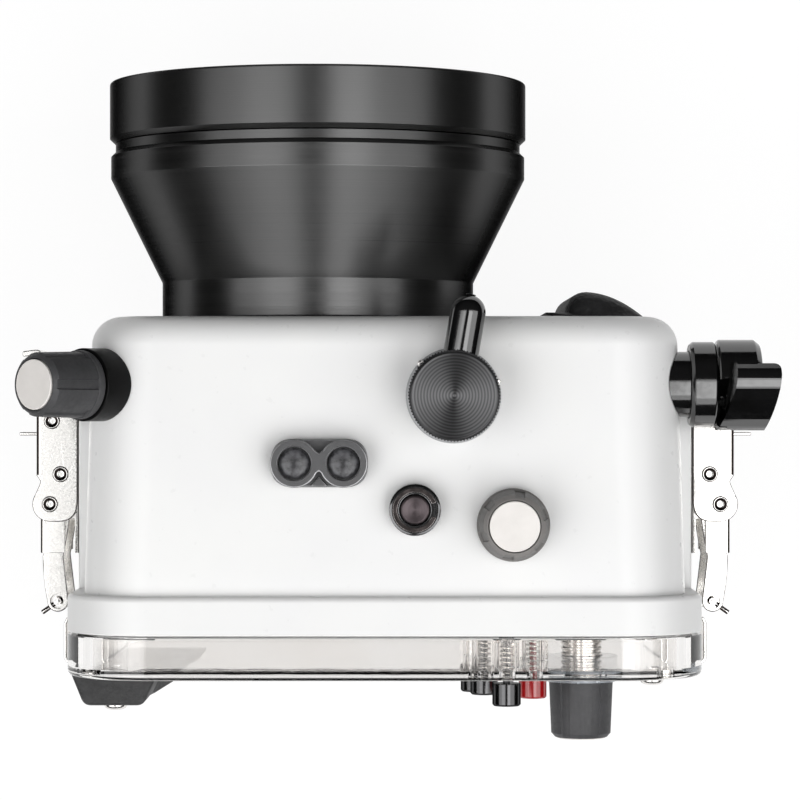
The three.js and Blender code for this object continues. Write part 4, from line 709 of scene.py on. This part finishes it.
def sockets():
    x, y = SOCKETS
    place = facing("up", x, y, TOP_Z)
    half, lobe, hole, top = 6.71, 6.63, 4.58, GAP + 6.8
    well = top - 3.2
    foot = skin([[(px, py, z) for px, py in round_rect(-half - r, half + r, -r, r, r, 16)]
                 for z, r in ((GAP, lobe), (GAP + 1.7, lobe), (GAP + 2.2, lobe - 0.5))], place)
    lobes = [rod(lobe, GAP, top, moved(place, s * half), 72, 0.4) for s in (-1, 1)]
    waist = eased([(-4, -5.6), (0, -2.1), (4, -5.6), (4, 5.9), (0, 2.75), (-4, 5.9)], GAP, top, place)
    flare = [(0, well), (hole, well), (hole, top - 0.28), (hole + 0.3, top + 0.02), (hole + 0.3, top + 2),
             (0, top + 2)]
    wells = [lathe(flare, moved(place, s * half), 72, False) for s in (-1, 1)]
    rib = eased([(-2.4, -6.4), (2.4, -6.4), (0, -3.5)], GAP + 1, GAP + 3.6, place)
    block = cut(join(foot, *lobes, waist, rib), *wells)
    finished(block, "optical_socket_block", BLASTED, "housing", "fibre_socket_block")
    seat = TOP_Z + well + GAP
    for side, word in ((-1, "left"), (1, "right")):
        dome = [(0, 0), (4.17, 0, 0.1), (4.17, 1.0, 0.15)]
        dome += [(4.0 * cos(a), 1.05 + 1.05 * sin(a), 0) for a in angles(0, 9, 10)]
        lens = turned(dome + [(0, 2.1)], facing("up", x + side * half, y, seat), 72)
        finished(lens, f"optical_window_{word}", LENS, "housing", f"fibre_window_{word}")


# Control knobs: a foot ring, a fluted grip and a pale insert

def knob(name, base, tip, length, seat, place, body, node, material, turn=0.0, step=0.38):
    grooves, half, wall, depth, bevel, lands = 6, 9.3, 1.3, 0.5, 1.2, 13
    offsets = [(-half, 0), (wall - half, 1), (-4, 1), (0, 1), (4, 1), (half - wall, 1), (half, 0)]
    offsets += [(half + 0.8 + i * (60 - 2 * half - 1.6) / lands, 0) for i in range(lands + 1)]
    spots = [(radians(turn + g * 360 / grooves + off), dip)
             for g in range(grooves) for off, dip in offsets]

    def ring(radius, share, z, most=inf):
        points = []
        for angle, dip in spots:
            r = min(radius - depth * dip * share, most)
            points.append((r * cos(angle), r * sin(angle), z))
        return points

    rings = [ring(*row) for row in (
        (SHAFT + GAP, 0, length * 0.55), (SHAFT + GAP, 0, 0), (base - 0.3, 0, 0), (base - 0.08, 0, 0.1),
        (base, 0, 0.35), (base, 0, 1.75), (base - 0.08, 0, 2.0), (base - step + 0.03, 0, 2.1),
        (base - step, 1, 2.2), (tip + 0.02, 1, length - bevel - 0.15),
        (tip - 0.04, 1, length - bevel, tip - 0.04), (tip, 1, length - bevel + 0.12, tip - 0.2),
        (tip, 1, length - bevel + depth, tip - depth - 0.04), (tip - bevel + 0.15, 0, length - 0.08),
        (tip - bevel - 0.02, 0, length), (seat + 0.42, 0, length), (seat + GAP, 0, length - 0.12),
        (seat + GAP, 0, length - 1.25))]
    finished(skin(rings, place), name, material, body, node)


def insert(name, radius, length, place, body, node):
    low, high = length - 0.95, length + 0.35
    disc = [(0, low), (radius, low), (radius, high, 0.3), (0, high)]
    finished(turned(disc, place, 96), name, PALE, body, node)


def left_control():
    place = facing("tilted", *TILT)
    gland = turned([(SHAFT_BORE, -17), (5, -17), (5, -15), (10.1, -15), (10.1, 9.2, 0.3), (SHAFT_BORE, 9.2)],
                   place, 128, 0.2)
    cut(gland, shell_form(GAP))
    join(gland, tube(5, SHAFT_BORE, -17, 9.2, place))
    finished(gland, "left_bushing", DULL_ACETAL, "housing", "left_control_gland")
    foot = moved(place, 0, 9.5)
    knob("left_control_knob", 9.5, 8.75, 17.9, 6.85, foot, "left_control", "left_knob", NYLON, 0.2)
    insert("left_knob_insert", 6.85, 17.9, foot, "left_control", "left_knob_cap")


# Shutter control at the right: bushing, collar, scooped hub and curved paddle

def shutter():
    place = facing("right", 0, SHUTTER_Y, SHUTTER_Z)
    gland = tube(9.25, SHAFT_BORE, 75, 87, place, 96, 0.3)
    cut(gland, shell_form(GAP))
    join(gland, tube(6, SHAFT_BORE, 73, 87, place))
    finished(gland, "shutter_bushing", ACETAL, "housing", "shutter_gland")
    collar = [(0, 61), (SHAFT, 61), (SHAFT, 87.3), (9.55, 87.3), (9.55, 85.2), (11.2, 85.2, 0.3),
              (12, 86.2, 0.5), (12, 91.9, 0.5), (11.4, 92.5, 0.3), (0, 92.5)]
    finished(turned(collar, place, 128), "shutter_boss", ACETAL, "shutter_control", "shutter_collar")
    hub = [(0, 92.8), (12.0, 92.8, 0.3), (12.6, 93.4, 0.4), (12.6, 103.2, 0.8), (11.2, 104.9, 0.8),
           (0, 104.9)]
    hub = turned(hub, place, 128)
    scoop = lathe([(0, 107.5), (3, 110.4), (6.5, 114.6), (9.5, 119.6), (9.5, 126), (0, 126)],
                  facing("up", 95.6, 16.65, 0), 96, False)
    cut(hub, scoop, box(95.6, 107, 9.7, 30.2, 108.6, 122.2))
    outline = curve((97.6, 30.2), (98.1, 22.3), (93.1, 11.5), 20)
    outline += curve((106.2, 11.5), (109.6, 19.5), (110, 30.2), 20)[:18]
    outline += curve((109.75, 27.77), (110, 30.2), (107.7, 30.2), 8)[1:]
    band = prism(outline, 102.3, 124.2)
    back = [(11.0, 109.4), (12.6, 112.4), (14.6, 114.9), (17.0, 117.2), (20.0, 119.6), (22.6, 121.3)]
    crest = [(25.4 + 5.2 * sin(a - 0.45), 117.0 + 5.2 * cos(a - 0.45)) for a in angles(0, 10, 10, 1.15)]
    side = rounded([(11.0, 100)] + back + crest + [(31.4, 118.2), (31.4, 100)], 1.2, True, 3)
    trim(band, skin([[(x, y, z) for y, z in side] for x in (91, 112)]))
    join(hub, band)
    cut(hub, *[rod(0.42, 106, 124, facing("up", *spot, 0), 24) for spot in SET_SCREWS])
    finished(hub, "shutter_finger_lever", ACETAL, "shutter_control", "shutter_trigger", 0.5, 38, 3)


# Lever on the top, between its two stop pins

def stop_pin_place(angle):
    turn = radians(90 - LEVER_ANGLE + angle)
    return LEVER[0] + 12.6 * cos(turn), LEVER[1] + 12.6 * sin(turn)


def top_lever():
    place = facing("up", *LEVER, TOP_Z)
    gland = turned([(SHAFT_BORE, -9), (5, -9), (5, GAP), (13.1, GAP), (13.1, 2.7, 0.5), (12.6, 3.3, 0.4),
                    (SHAFT_BORE, 3.3)], place, 128)
    holes = []
    for word, angle in (("left", 55.5), ("right", -62.8)):
        spot = facing("up", *stop_pin_place(angle), TOP_Z)
        holes.append(rod(1.2, -2, 6, spot, 32))
        pin = turned([(0, GAP), (0.9, GAP), (0.9, 7.0, 0.2), (0.6, 7.6, 0.2), (0, 7.6)], spot, 40)
        finished(pin, f"stop_pin_{word}", STAINLESS, "housing", f"lever_stop_pin_{word}")
    cut(gland, *holes)
    finished(gland, "lever_bushing", FLANGE_METAL, "housing", "lever_gland")
    tip = [(4.85 * cos(a), 22.95 + 4.85 * sin(a), 0) for a in angles(0, 12, 14)]
    nub = [(1.5, 27.75, 0), (1.3, 28.0, 0), (0, 28.0)]
    along = Matrix.Rotation(radians(-LEVER_ANGLE), 4, "Z") @ facing("front")
    arm = turned([(0, 0), (4.85, 0, 0)] + tip + nub, moved(place, 0, 8.5) @ along, 72)
    hub = rod(9.2, 3.6, 13.35, place, 96, 0.5)
    join(hub, arm)
    cut(hub, rod(2.8, 0, 20, place, 48))
    finished(hub, "lever_finger_arm", ACETAL, "top_lever", "lever_arm", 0.3, 45)
    teeth, sides = 88, 352
    groove_pitch, groove_depth = 0.84, 0.11

    def ring(radius, depth, z):
        points = []
        for i in range(sides):
            out = radius - depth * (0.5 - 0.5 * cos(teeth * FULL * i / sides))
            points.append((out * cos(FULL * i / sides), out * sin(FULL * i / sides), z))
        return points

    foot, top = 13.65, 18.65
    rings = [ring(*row) for row in (
        (2.8, 0, foot + 2.5), (2.8, 0, foot), (11.9, 0, foot), (12.54, 0.45, foot + 0.6),
        (12.54, 0.45, top - 0.95), (12.35, 0.2, top - 0.7), (11.75, 0, top - 0.1), (11.55, 0, top))]
    for i in range(13):
        outer = 11.3 - i * groove_pitch
        rings += [ring(outer, 0, top), ring(outer - groove_pitch / 2, 0, top - groove_depth)]
    rings.append(ring(0.2, 0, top - 0.05))
    finished(skin(rings, place), "lever_knurled_disc", DISC_METAL, "top_lever", "lever_disc")


# Push button on the top in its guard, with a spring clip

def top_button():
    place = facing("up", *BUTTON, TOP_Z)
    top = 5.5
    guard = [(1.59, -9), (5.6, -9), (5.6, GAP, 0), (7.07, GAP), (7.07, top - 0.3, 0.1),
             (6.45, top - 0.02, 0.05), (6.4, top), (6.4, top - 1, 0), (4.34, top - 1, 0.2), (4.34, -0.9, 0),
             (1.59, -0.9, 0)]
    finished(turned(guard, place, 96, 0.15), "button_guard", RUBBED, "housing", "top_button_guard")
    gap = radians(20)
    clip = arc(0, 0, 6.1, gap, FULL - gap, 60) + arc(0, 0, 4.9, FULL - gap, gap, 60)
    spring = prism(clip, 0, 0.7, moved(place, 0, 4.8))
    finished(spring, "button_retaining_clip", BLUED, "housing", "top_button_clip", 0.12, 40)
    cap = [(0, -14.6), (2.6, -14.6), (2.6, -13), (1.5, -13), (1.5, 2.4), (4.04, 2.4), (4.04, 4.1, 0.35),
           (3.4, 4.4, 0.3), (2.0, 4.22, 0.6), (0, 4.12)]
    finished(turned(cap, place, 96, 0.15), "button_cap", CAP_METAL, "top_button", "top_button")


def mode_dial():
    place = facing("up", *DIAL, TOP_Z)
    gland = [(SHAFT_BORE, -9), (5, -9), (5, GAP), (7.2, GAP), (7.2, 1.9), (SHAFT_BORE, 1.9)]
    finished(turned(gland, place, 96), "dial_bushing", ANODISED, "housing", "mode_dial_gland")
    foot = moved(place, 0, 2.2)
    knob("mode_dial_knob", 10.05, 8.5, 12.6, 6.86, foot, "mode_dial", "mode_dial", DIAL_NYLON, 20)
    insert("mode_dial_insert", 6.86, 12.6, foot, "mode_dial", "mode_dial_cap")


# Draw latches, folded from stainless sheet

BASE_PIVOT, LINK_PIVOT, LOCK_PIVOT, LINK_END = (8.9, -10.2), (5.8, -1.5), (8.3, 13.9), (6.9, -38.5)


def rivet(side, pivot, low, high, head=2.35):
    """Shank with a dished head on top."""
    x, y = side * (PAD_FACE + pivot[0]), pivot[1]
    dish = [(1, 0.12), (0.97, 0.42), (0.9, 0.58), (0.8, 0.6), (0.7, 0.5), (0.58, 0.24), (0.42, 0.1),
            (0.22, 0.08)]
    points = [(0, low), (1.5, low, 0), (1.5, high - 0.2, 0), (head, high - 0.2, 0)]
    points += [(head * out, high + up, 0) for out, up in dish] + [(0, high + 0.12)]
    return turned(points, facing("up", x, y, AXIS_Z), 48)


def flipped(piece):
    """The same piece below the latch's middle plane."""
    mesh = piece.data.copy()
    mesh.transform(Matrix.Translation((0, 0, AXIS_Z * MM)) @ Matrix.Scale(-1, 4, (0, 0, 1))
                   @ Matrix.Translation((0, 0, -AXIS_Z * MM)) @ piece.matrix_world)
    mesh.flip_normals()
    return placed("piece", mesh)


def plates(outline, low):
    """Two plates of sheet, each that far from the latch's middle plane."""
    return [eased(outline, AXIS_Z + base, AXIS_Z + base + STEEL) for base in (low, -low - STEEL)]


def pin_hole(side, pivot, radius=1.59):
    return rod(radius, 20, 110, facing("up", side * (PAD_FACE + pivot[0]), pivot[1], 0), 32)


def latch(side, word):
    def at(points):
        return [(side * (PAD_FACE + p[0]), p[1]) + tuple(p[2:]) for p in points]

    def strip(out0, out1, y0, y1, z0, z1):
        x0, x1 = sorted((side * (PAD_FACE + out0), side * (PAD_FACE + out1)))
        return box(x0, x1, y0, y1, AXIS_Z + z0, AXIS_Z + z1)

    def folded(out0, out1, y0, y1, half, radius):
        """Bar with round corners, which gives a bent sheet its folds."""
        x0, x1 = sorted((side * (PAD_FACE + out0), side * (PAD_FACE + out1)))
        section = round_rect(x0, x1, AXIS_Z - half, AXIS_Z + half, radius, 6)
        return skin([[(x, y, z) for x, z in section] for y in (y0, y1)])

    # Base: a web on the pad and two ears
    ear = [(4.7, -24.4), (11.8, -24.4), (11.8, -10.2)]
    ear += [(8.9 + 2.9 * cos(a), -10.2 + 6.6 * sin(a)) for a in angles(1, 12, 12)]
    ear += [(1.5, -6.5), (0.3, -4.0), (0.3, -14.5), (4.7, -14.5)]
    web = strip(0.3, 1.8, -24.4, 16, -11.8, 11.8)
    join(web, *plates(rounded(at(ear), 0.4), 10.7))
    trim(web, folded(0.3, 11.8, -30, 20, 11.8, 1.0))
    cut(web, pin_hole(side, BASE_PIVOT))
    finished(web, f"latch_bracket_{word}", SHEET, "housing", f"latch_base_{word}", 0.2, 40)

    # Lever: a channel with its finger tab, a slot for the lock and three rivets a side
    tail = arc(8.9, -10.2, 5.1, -QUARTER, 0.55, 16)
    shape = [(0.9, 30)] + curve((0.9, -9.1), (0.9, -15.3), (6.35, -15.3), 10) + tail
    shape += [(11.95, -4.6, 1.0), (11.6, -3.6, 0.8), (12.9, -1.7, 0.8), (12.9, 30)]
    web = strip(11.8, 12.9, 3.6, 30, -13.2, 13.2)
    join(web, *plates(rounded(at(shape), 0.5), 12.1))
    bends = join(folded(-1, 12.9, -1.7, 40, 13.2, 1.3), strip(-1, 16, -20, -1.7, -13.2, 13.2))
    trim(web, bends)
    tab = [(11.8, 28.9), (12.9, 28.9), (12.9, 33.0, 0.8), (17.3, 32.6, 0.5), (17.3, 34.2, 0.5),
           (11.8, 34.9, 1.6)]
    tab = eased(rounded(at(tab), 0.4), AXIS_Z - 9, AXIS_Z + 9, None, 0.4)
    join(web, tab)
    cut(web, strip(10.7, 14, 7.7, 11.1, -5.3, 5.3))
    finished(web, "piece_of_latch", SHEET, "housing", None, 0.15, 40)
    rivets = []
    for pivot, low in ((BASE_PIVOT, 10.7), (LINK_PIVOT, 0), (LOCK_PIVOT, 0)):
        head = rivet(side, pivot, low, 13.2)
        rivets += [flipped(head), head]
    join(web, *rivets)
    finished(web, f"latch_handle_{word}", SHEET, f"latch_lever_{word}", f"latch_lever_{word}")

    # Link: two curved plates, a spine between them and the end pin with its peg
    outline = curve((3.3, -1.5), (2.2, -10.2), (5.3, -25.5), 12) + arc(6.9, -38.5, 3.1, pi, FULL, 16)
    outline += curve((10, -38.5), (11.3, -32), (11.3, -25.5), 8)
    outline += curve((11.3, -25.5), (6.9, -11.3), (8.3, -1.5), 12)[1:]
    outline += arc(5.8, -1.5, 2.5, 0, pi, 12)[1:-1]
    spine = strip(7.2, 8.3, -34, -15.7, -9.85, 9.85)
    join(spine, *plates(at(outline), 9.3))
    cut(spine, pin_hole(side, LINK_PIVOT))
    way = facing("up", side * (PAD_FACE + LINK_END[0]), LINK_END[1], AXIS_Z + 9.3)
    way = way @ Matrix.Rotation(radians(-36 * side), 4, "Z") @ facing("right" if side > 0 else "left")
    peg = turned([(0, 0), (0.7, 0), (0.7, 5.7), (0, 5.7)], way, 32, 0.15)
    join(spine, peg)
    finished(spine, "piece_of_link", SHEET, "housing", None, 0.15, 40)
    pin = rivet(side, LINK_END, 0, 10.3, 2.25)
    join(spine, flipped(pin), pin)
    finished(spine, f"latch_draw_link_{word}", SHEET, f"latch_link_{word}", f"latch_link_{word}")

    # Lock: an eye on its pin and a thumb tab through the slot
    eye = rod(2.7, AXIS_Z - 5, AXIS_Z + 5, facing("up", side * (PAD_FACE + 8.3), 13.9, 0), 48)
    arm = [(5.6, 13.9), (6.6, 13.9), (8.3, 10.6), (18.7, 10.6, 0.4), (18.7, 9.6, 0.4), (5.6, 9.6)]
    arm = eased(rounded(at(arm), 0.35), AXIS_Z - 5, AXIS_Z + 5, None, 0.3)
    join(eye, arm)
    cut(eye, pin_hole(side, LOCK_PIVOT))
    finished(eye, f"latch_safety_catch_{word}", SHEET, f"latch_lock_{word}", f"latch_lock_{word}", 0.1, 40)

    # Keeper on the door: a hairpin of spring strip
    inner, outer, thick = 89.45, 93.4, 0.9
    bend, middle = (outer - inner) / 2, (outer + inner) / 2
    line = [(inner, -48)] + arc(middle, -54.6, bend, pi, FULL, 14)
    line += [(outer, -44.9), (outer - 0.8, -43.2), (outer - 0.8 - thick, -43.2), (outer - thick, -44.9)]
    line += arc(middle, -54.6, bend - thick, FULL, pi, 14) + [(inner + thick, -48)]
    keeper = eased([(side * x, y) for x, y in line], AXIS_Z - 11, AXIS_Z + 11, None, 0.28)
    finished(keeper, f"door_catch_{word}", SHEET, "back_door", f"latch_keeper_{word}")


# Clear back with its bosses and the collar round the knob

def back_door():
    edge = 1.6
    outer = skin([flange_ring(DOOR_FRONT_Y, 0.3), flange_ring(DOOR_FRONT_Y - 0.3, 0),
                  flange_ring(DOOR_REAR_Y + edge, 0)] +
                 [flange_ring(DOOR_REAR_Y + edge * (1 - sin(a)), edge * (1 - cos(a)))
                  for a in angles(1, 6, 6)])
    recess = skin([flange_ring(-43.5, DOOR_RIM), flange_ring(-54.7, DOOR_RIM)])
    cut(outer, recess)
    joined, cuts = [], []
    for x, z in REAR_BUTTONS:
        joined.append(rod(4.4, 46.2, 55.1, facing("rear", x, 0, z), 48))
        cuts.append(rod(2.35, 47.8, 60, facing("rear", x, 0, z), 48))
        cuts.append(rod(1.09, 44, 50, facing("rear", x, 0, z), 32))
    x, z = REAR_KNOB
    cuts += [rod(6.3, 44, 60, facing("rear", x, 0, z), 64),
             rod(1.9, 55.6, 60, facing("rear", REST_SCREW[0], 0, REST_SCREW[1]), 32),
             rod(1.9, 54.4, 60, facing("rear", DOOR_SCREW[0], 0, DOOR_SCREW[1]), 32)]
    join(outer, *joined)
    cut(outer, *cuts)
    finished(outer, "clear_back", CLEAR, "back_door", "back_door")
    guard = [(9.9, 55.9), (10.6, 55.9), (10.6, 62.5, 0.3), (9.9, 62.5, 0.3)]
    guard = turned(guard, facing("rear", x, 0, z), 128, 0.1)
    finished(guard, "knob_guard_collar", FROSTED, "back_door", "back_door")


# Push buttons of the back, each on its coil spring

SPRING_REAR_Y, SPRING_FRONT_Y, SPRING_PRESSED = -59.1, -48.1, 0.818


def coil(name, x, z, number):
    """One unbroken wire round the push rod, its end turns wound close."""
    turns, steps, around, radius, wire = 8, 28, 10, 1.72, 0.25
    climb = SPRING_FRONT_Y - SPRING_REAR_Y - 2 * wire
    rings = []
    total = turns * steps
    for s in range(total + 1):
        t = s / total
        rise = (t * turns - 0.5 * (sin(FULL * t) / FULL)) / turns
        angle = FULL * s / steps
        out = Vector((cos(angle), 0, sin(angle)))
        centre = Vector((x, SPRING_REAR_Y + wire + climb * rise, z)) + out * radius
        rings.append([tuple(centre + out * wire * cos(a) + Vector((0, 1, 0)) * wire * sin(a))
                      for a in (FULL * i / around for i in range(around))])
    piece = finished(skin(rings), name, STAINLESS, "back_door", f"back_button_spring_{number}")
    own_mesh(piece)


def rear_buttons():
    for i, (x, z) in enumerate(REAR_BUTTONS):
        number = i + 1
        look = RED if number == 4 else CAP_BLACK
        form = [(0, 65.8), (3.55, 65.8, 0.3), (4, 65.3, 0.3), (4, 59.4, 0.3), (1, 59.4, 0), (1, 45.9, 0),
                (2.2, 45.9), (2.2, 43.5), (0, 43.5)]
        finished(turned(form, facing("rear", x, 0, z), 72), f"back_push_button_{number}", look,
                 f"back_button_{number}", f"back_button_{number}")
        coil(f"back_return_spring_{number}", x, z, number)


# Knob, thumb rest and screws of the back

def rear_knob():
    x, z = REAR_KNOB
    place = facing("rear", x, 0, z)
    first, face, turns, deep = 43.2, 57.4, 9, 0.45
    pitch = (face - first) / turns
    thread = [(SHAFT_BORE, first, 0)]
    for i in range(turns):
        low = first + i * pitch
        thread += [(6 - deep * dip, low + share * pitch, 0)
                   for share, dip in ((0, 0), (0.14, 0), (0.42, 1), (0.58, 1), (0.86, 0))]
    gland = thread + [(6, face, 0), (7.4, face, 0.2), (7.4, 59.4, 0.3), (SHAFT_BORE, 59.4, 0)]
    finished(turned(gland, place, 96), "rear_threaded_bushing", STAINLESS, "back_door", "rear_knob_gland")
    foot = facing("rear", x, -59.7, z)
    knob("rear_control_knob", 9.6, 8.8, 19.2, 7.1, foot, "rear_control", "rear_knob", NYLON, 3.7, 0.1)
    insert("rear_knob_insert", 7.1, 19.2, foot, "rear_control", "rear_knob_cap")


def thumb_rest():
    front, rear, wing = -57.4, -66.0, 9.9
    rows = []
    for z, inset, share in ((33, 1.2, 1), (33.35, 0.35, 1), (34.2, 0, 1), (70.2, 0, 1), (70.96, 0, 0.985),
                            (71.7, 0, 0.92), (79.2, 0, 0.08), (79.96, 0, 0.015), (80.8, 0, 0), (104.8, 0, 0),
                            (105.65, 0.35, 0), (106, 1.2, 0)):
        outline = [(-88.2, front, 0), (-84.7, rear, 3.0), (-68, rear, 3.0), (-64 + wing * share, front, 0)]
        rows.append([(x + (inset if x < -76 else -inset), y + (inset if y < -60 else 0), z)
                     for x, y in rounded(outline, 1, True, 8)])
    hole = rod(1.9, 55, 70, facing("rear", REST_SCREW[0], 0, REST_SCREW[1]), 32)
    rest = cut(skin(rows), hole)
    finished(rest, "moulded_thumb_rest", REST_NYLON, "back_door", "thumb_rest", 0.15, 45)


def pan_screw(name, node, spot, face, reach, washer):
    """Pan head with a hexagon socket, on its washer where it has one."""
    base = 1.0 if washer else 0.0
    points = [(0, -reach), (1.6, -reach), (1.6, 0, 0)]
    if washer:
        points += [(3.8, 0), (3.8, 1.0, 0.2)]
    points += [(3.3, base, 0)]
    points += [(3.3 * cos(a) ** 0.6, base + 1.5 * sin(a), 0) for a in angles(1, 9, 10)]
    place = facing("rear", spot[0], face - GAP, spot[1])
    screw = turned(points + [(0, base + 1.5)], place, 64, 0.1)
    key = prism([(1.15 * cos(a), 1.15 * sin(a)) for a in (FULL * i / 6 for i in range(6))],
                base + 0.4, base + 3, place)
    finished(cut(screw, key), name, STAINLESS, "back_door", node)


housing_body()
port()
front_grip()
sockets()
left_control()
shutter()
top_lever()
top_button()
mode_dial()
latch(-1, "left")
latch(1, "right")
back_door()
rear_buttons()
rear_knob()
thumb_rest()
pan_screw("thumb_rest_pan_screw", "thumb_rest_screw", REST_SCREW, -66.0, 9.8, False)
pan_screw("door_pan_screw", "back_door_screw", DOOR_SCREW, DOOR_REAR_Y, 2.4, True)


# Solids that keep their own form get the finish of the real piece

CARRIED = {
    RUBBER: ["door_seal", "mode_dial_wheel"],
    BRASS: ["tripod_insert"],
    ANODISED: ["camera_tray"],
    STAINLESS: ["camera_screw", "left_control_shaft", "shutter_arm", "lever_shaft", "rear_knob_shaft"],
}
for material, names in CARRIED.items():
    for node_name in names:
        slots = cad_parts[node_name].data.materials
        slots.clear()
        slots.append(material)


# Camera and studio

camera = placed("camera", bpy.data.cameras.new("camera"))
camera.location = [length * MM for length in CAMERA_AT]
camera.data.lens = CAMERA_LENS
camera.data.sensor_width = CAMERA_FILM
camera.data.clip_end = 20
bpy.context.scene.camera = camera


def any_of(tree, path, *kinds):
    """1 for a ray of one of those kinds, else 0."""
    seen = path.outputs[kinds[0]]
    for kind in kinds[1:]:
        seen = maths(tree, "MAXIMUM", seen, path.outputs[kind])
    return seen


def paper_floor():
    """White sweep paper under the housing: what looks at it sees it lit evenly, the rest meets matt paper."""
    wide, long, drop = 0.38, 3.0, 0.0003
    corners = [(-wide, -long, 0), (wide, -long, 0), (wide, long, 0), (-wide, long, 0)]
    floor = placed("floor", bpy.data.meshes.new("floor"))
    floor.data.from_pydata(corners, [], [(0, 1, 2, 3)])
    floor.location.z = -drop
    paper = bpy.data.materials.new("white_sweep_paper")
    paper.use_nodes = True
    tree = paper.node_tree
    tree.nodes.clear()
    matt = add(tree, "BsdfDiffuse", {"Color": (0.86, 0.86, 0.86, 1)})
    glow = add(tree, "Emission", {"Color": (1, 1, 1, 1), "Strength": 1.04})
    path = add(tree, "LightPath")
    seen = any_of(tree, path, "Is Camera Ray", "Is Glossy Ray", "Is Transmission Ray")
    share = maths(tree, "MULTIPLY", seen, 0.88)
    both = add(tree, "MixShader", {0: share, 1: matt.outputs[0], 2: glow.outputs[0]})
    end = add(tree, "OutputMaterial")
    tree.links.new(both.outputs[0], end.inputs["Surface"])
    floor.data.materials.append(paper)


def white_room():
    """World: white to the camera, through clear pieces and in reflections from below, else a dark room."""
    world = bpy.data.worlds.new("studio")
    bpy.context.scene.world = world
    world.use_nodes = True
    tree = world.node_tree
    tree.nodes.clear()
    dark_low, dark_high, below = 0.012, 0.04, -0.25
    way = add(tree, "TexCoord")
    height = add(tree, "SeparateXYZ", {0: way.outputs["Generated"]}).outputs[2]
    wall = add(tree, "MapRange", {0: height, 1: 0.0, 2: 0.6, 3: dark_low, 4: dark_high})
    path = add(tree, "LightPath")
    mirrored = maths(tree, "MULTIPLY", path.outputs["Is Glossy Ray"], maths(tree, "LESS_THAN", height, below))
    seen = maths(tree, "MAXIMUM", any_of(tree, path, "Is Camera Ray", "Is Transmission Ray"), mirrored)
    strength = add(tree, "Mix", {0: seen, 2: wall.outputs[0], 3: 1.0}, data_type="FLOAT")
    back = add(tree, "Background", {"Color": (1, 1, 1, 1), "Strength": strength.outputs[0]})
    end = add(tree, "OutputWorld")
    tree.links.new(back.outputs[0], end.inputs["Surface"])


def softboxes():
    """A wide softbox overhead on each side of the camera, most of it to the rear, with a brighter core."""
    for name, x0, x1, y0, y1, height, radiance in (
            ("left_softbox", -4.2, -0.34, -2.8, 0.5, 2.1, 1.82),
            ("right_softbox", 0.24, 4.2, -2.8, 0.5, 2.1, 1.86),
            ("left_softbox_core", -1.6, -0.5, -1.5, 0.3, 2.08, 1.1),
            ("right_softbox_core", 0.25, 1.1, -1.5, 0.3, 2.08, 1.9)):
        lamp = placed(name, bpy.data.lights.new(name, "AREA"))
        lamp.data.shape = "RECTANGLE"
        lamp.data.size = x1 - x0
        lamp.data.size_y = y1 - y0
        lamp.data.energy = radiance * pi * (x1 - x0) * (y1 - y0)
        lamp.location = ((x0 + x1) / 2, (y0 + y1) / 2, height)


paper_floor()
white_room()
softboxes()
bpy.context.scene.view_settings.view_transform = "Standard"
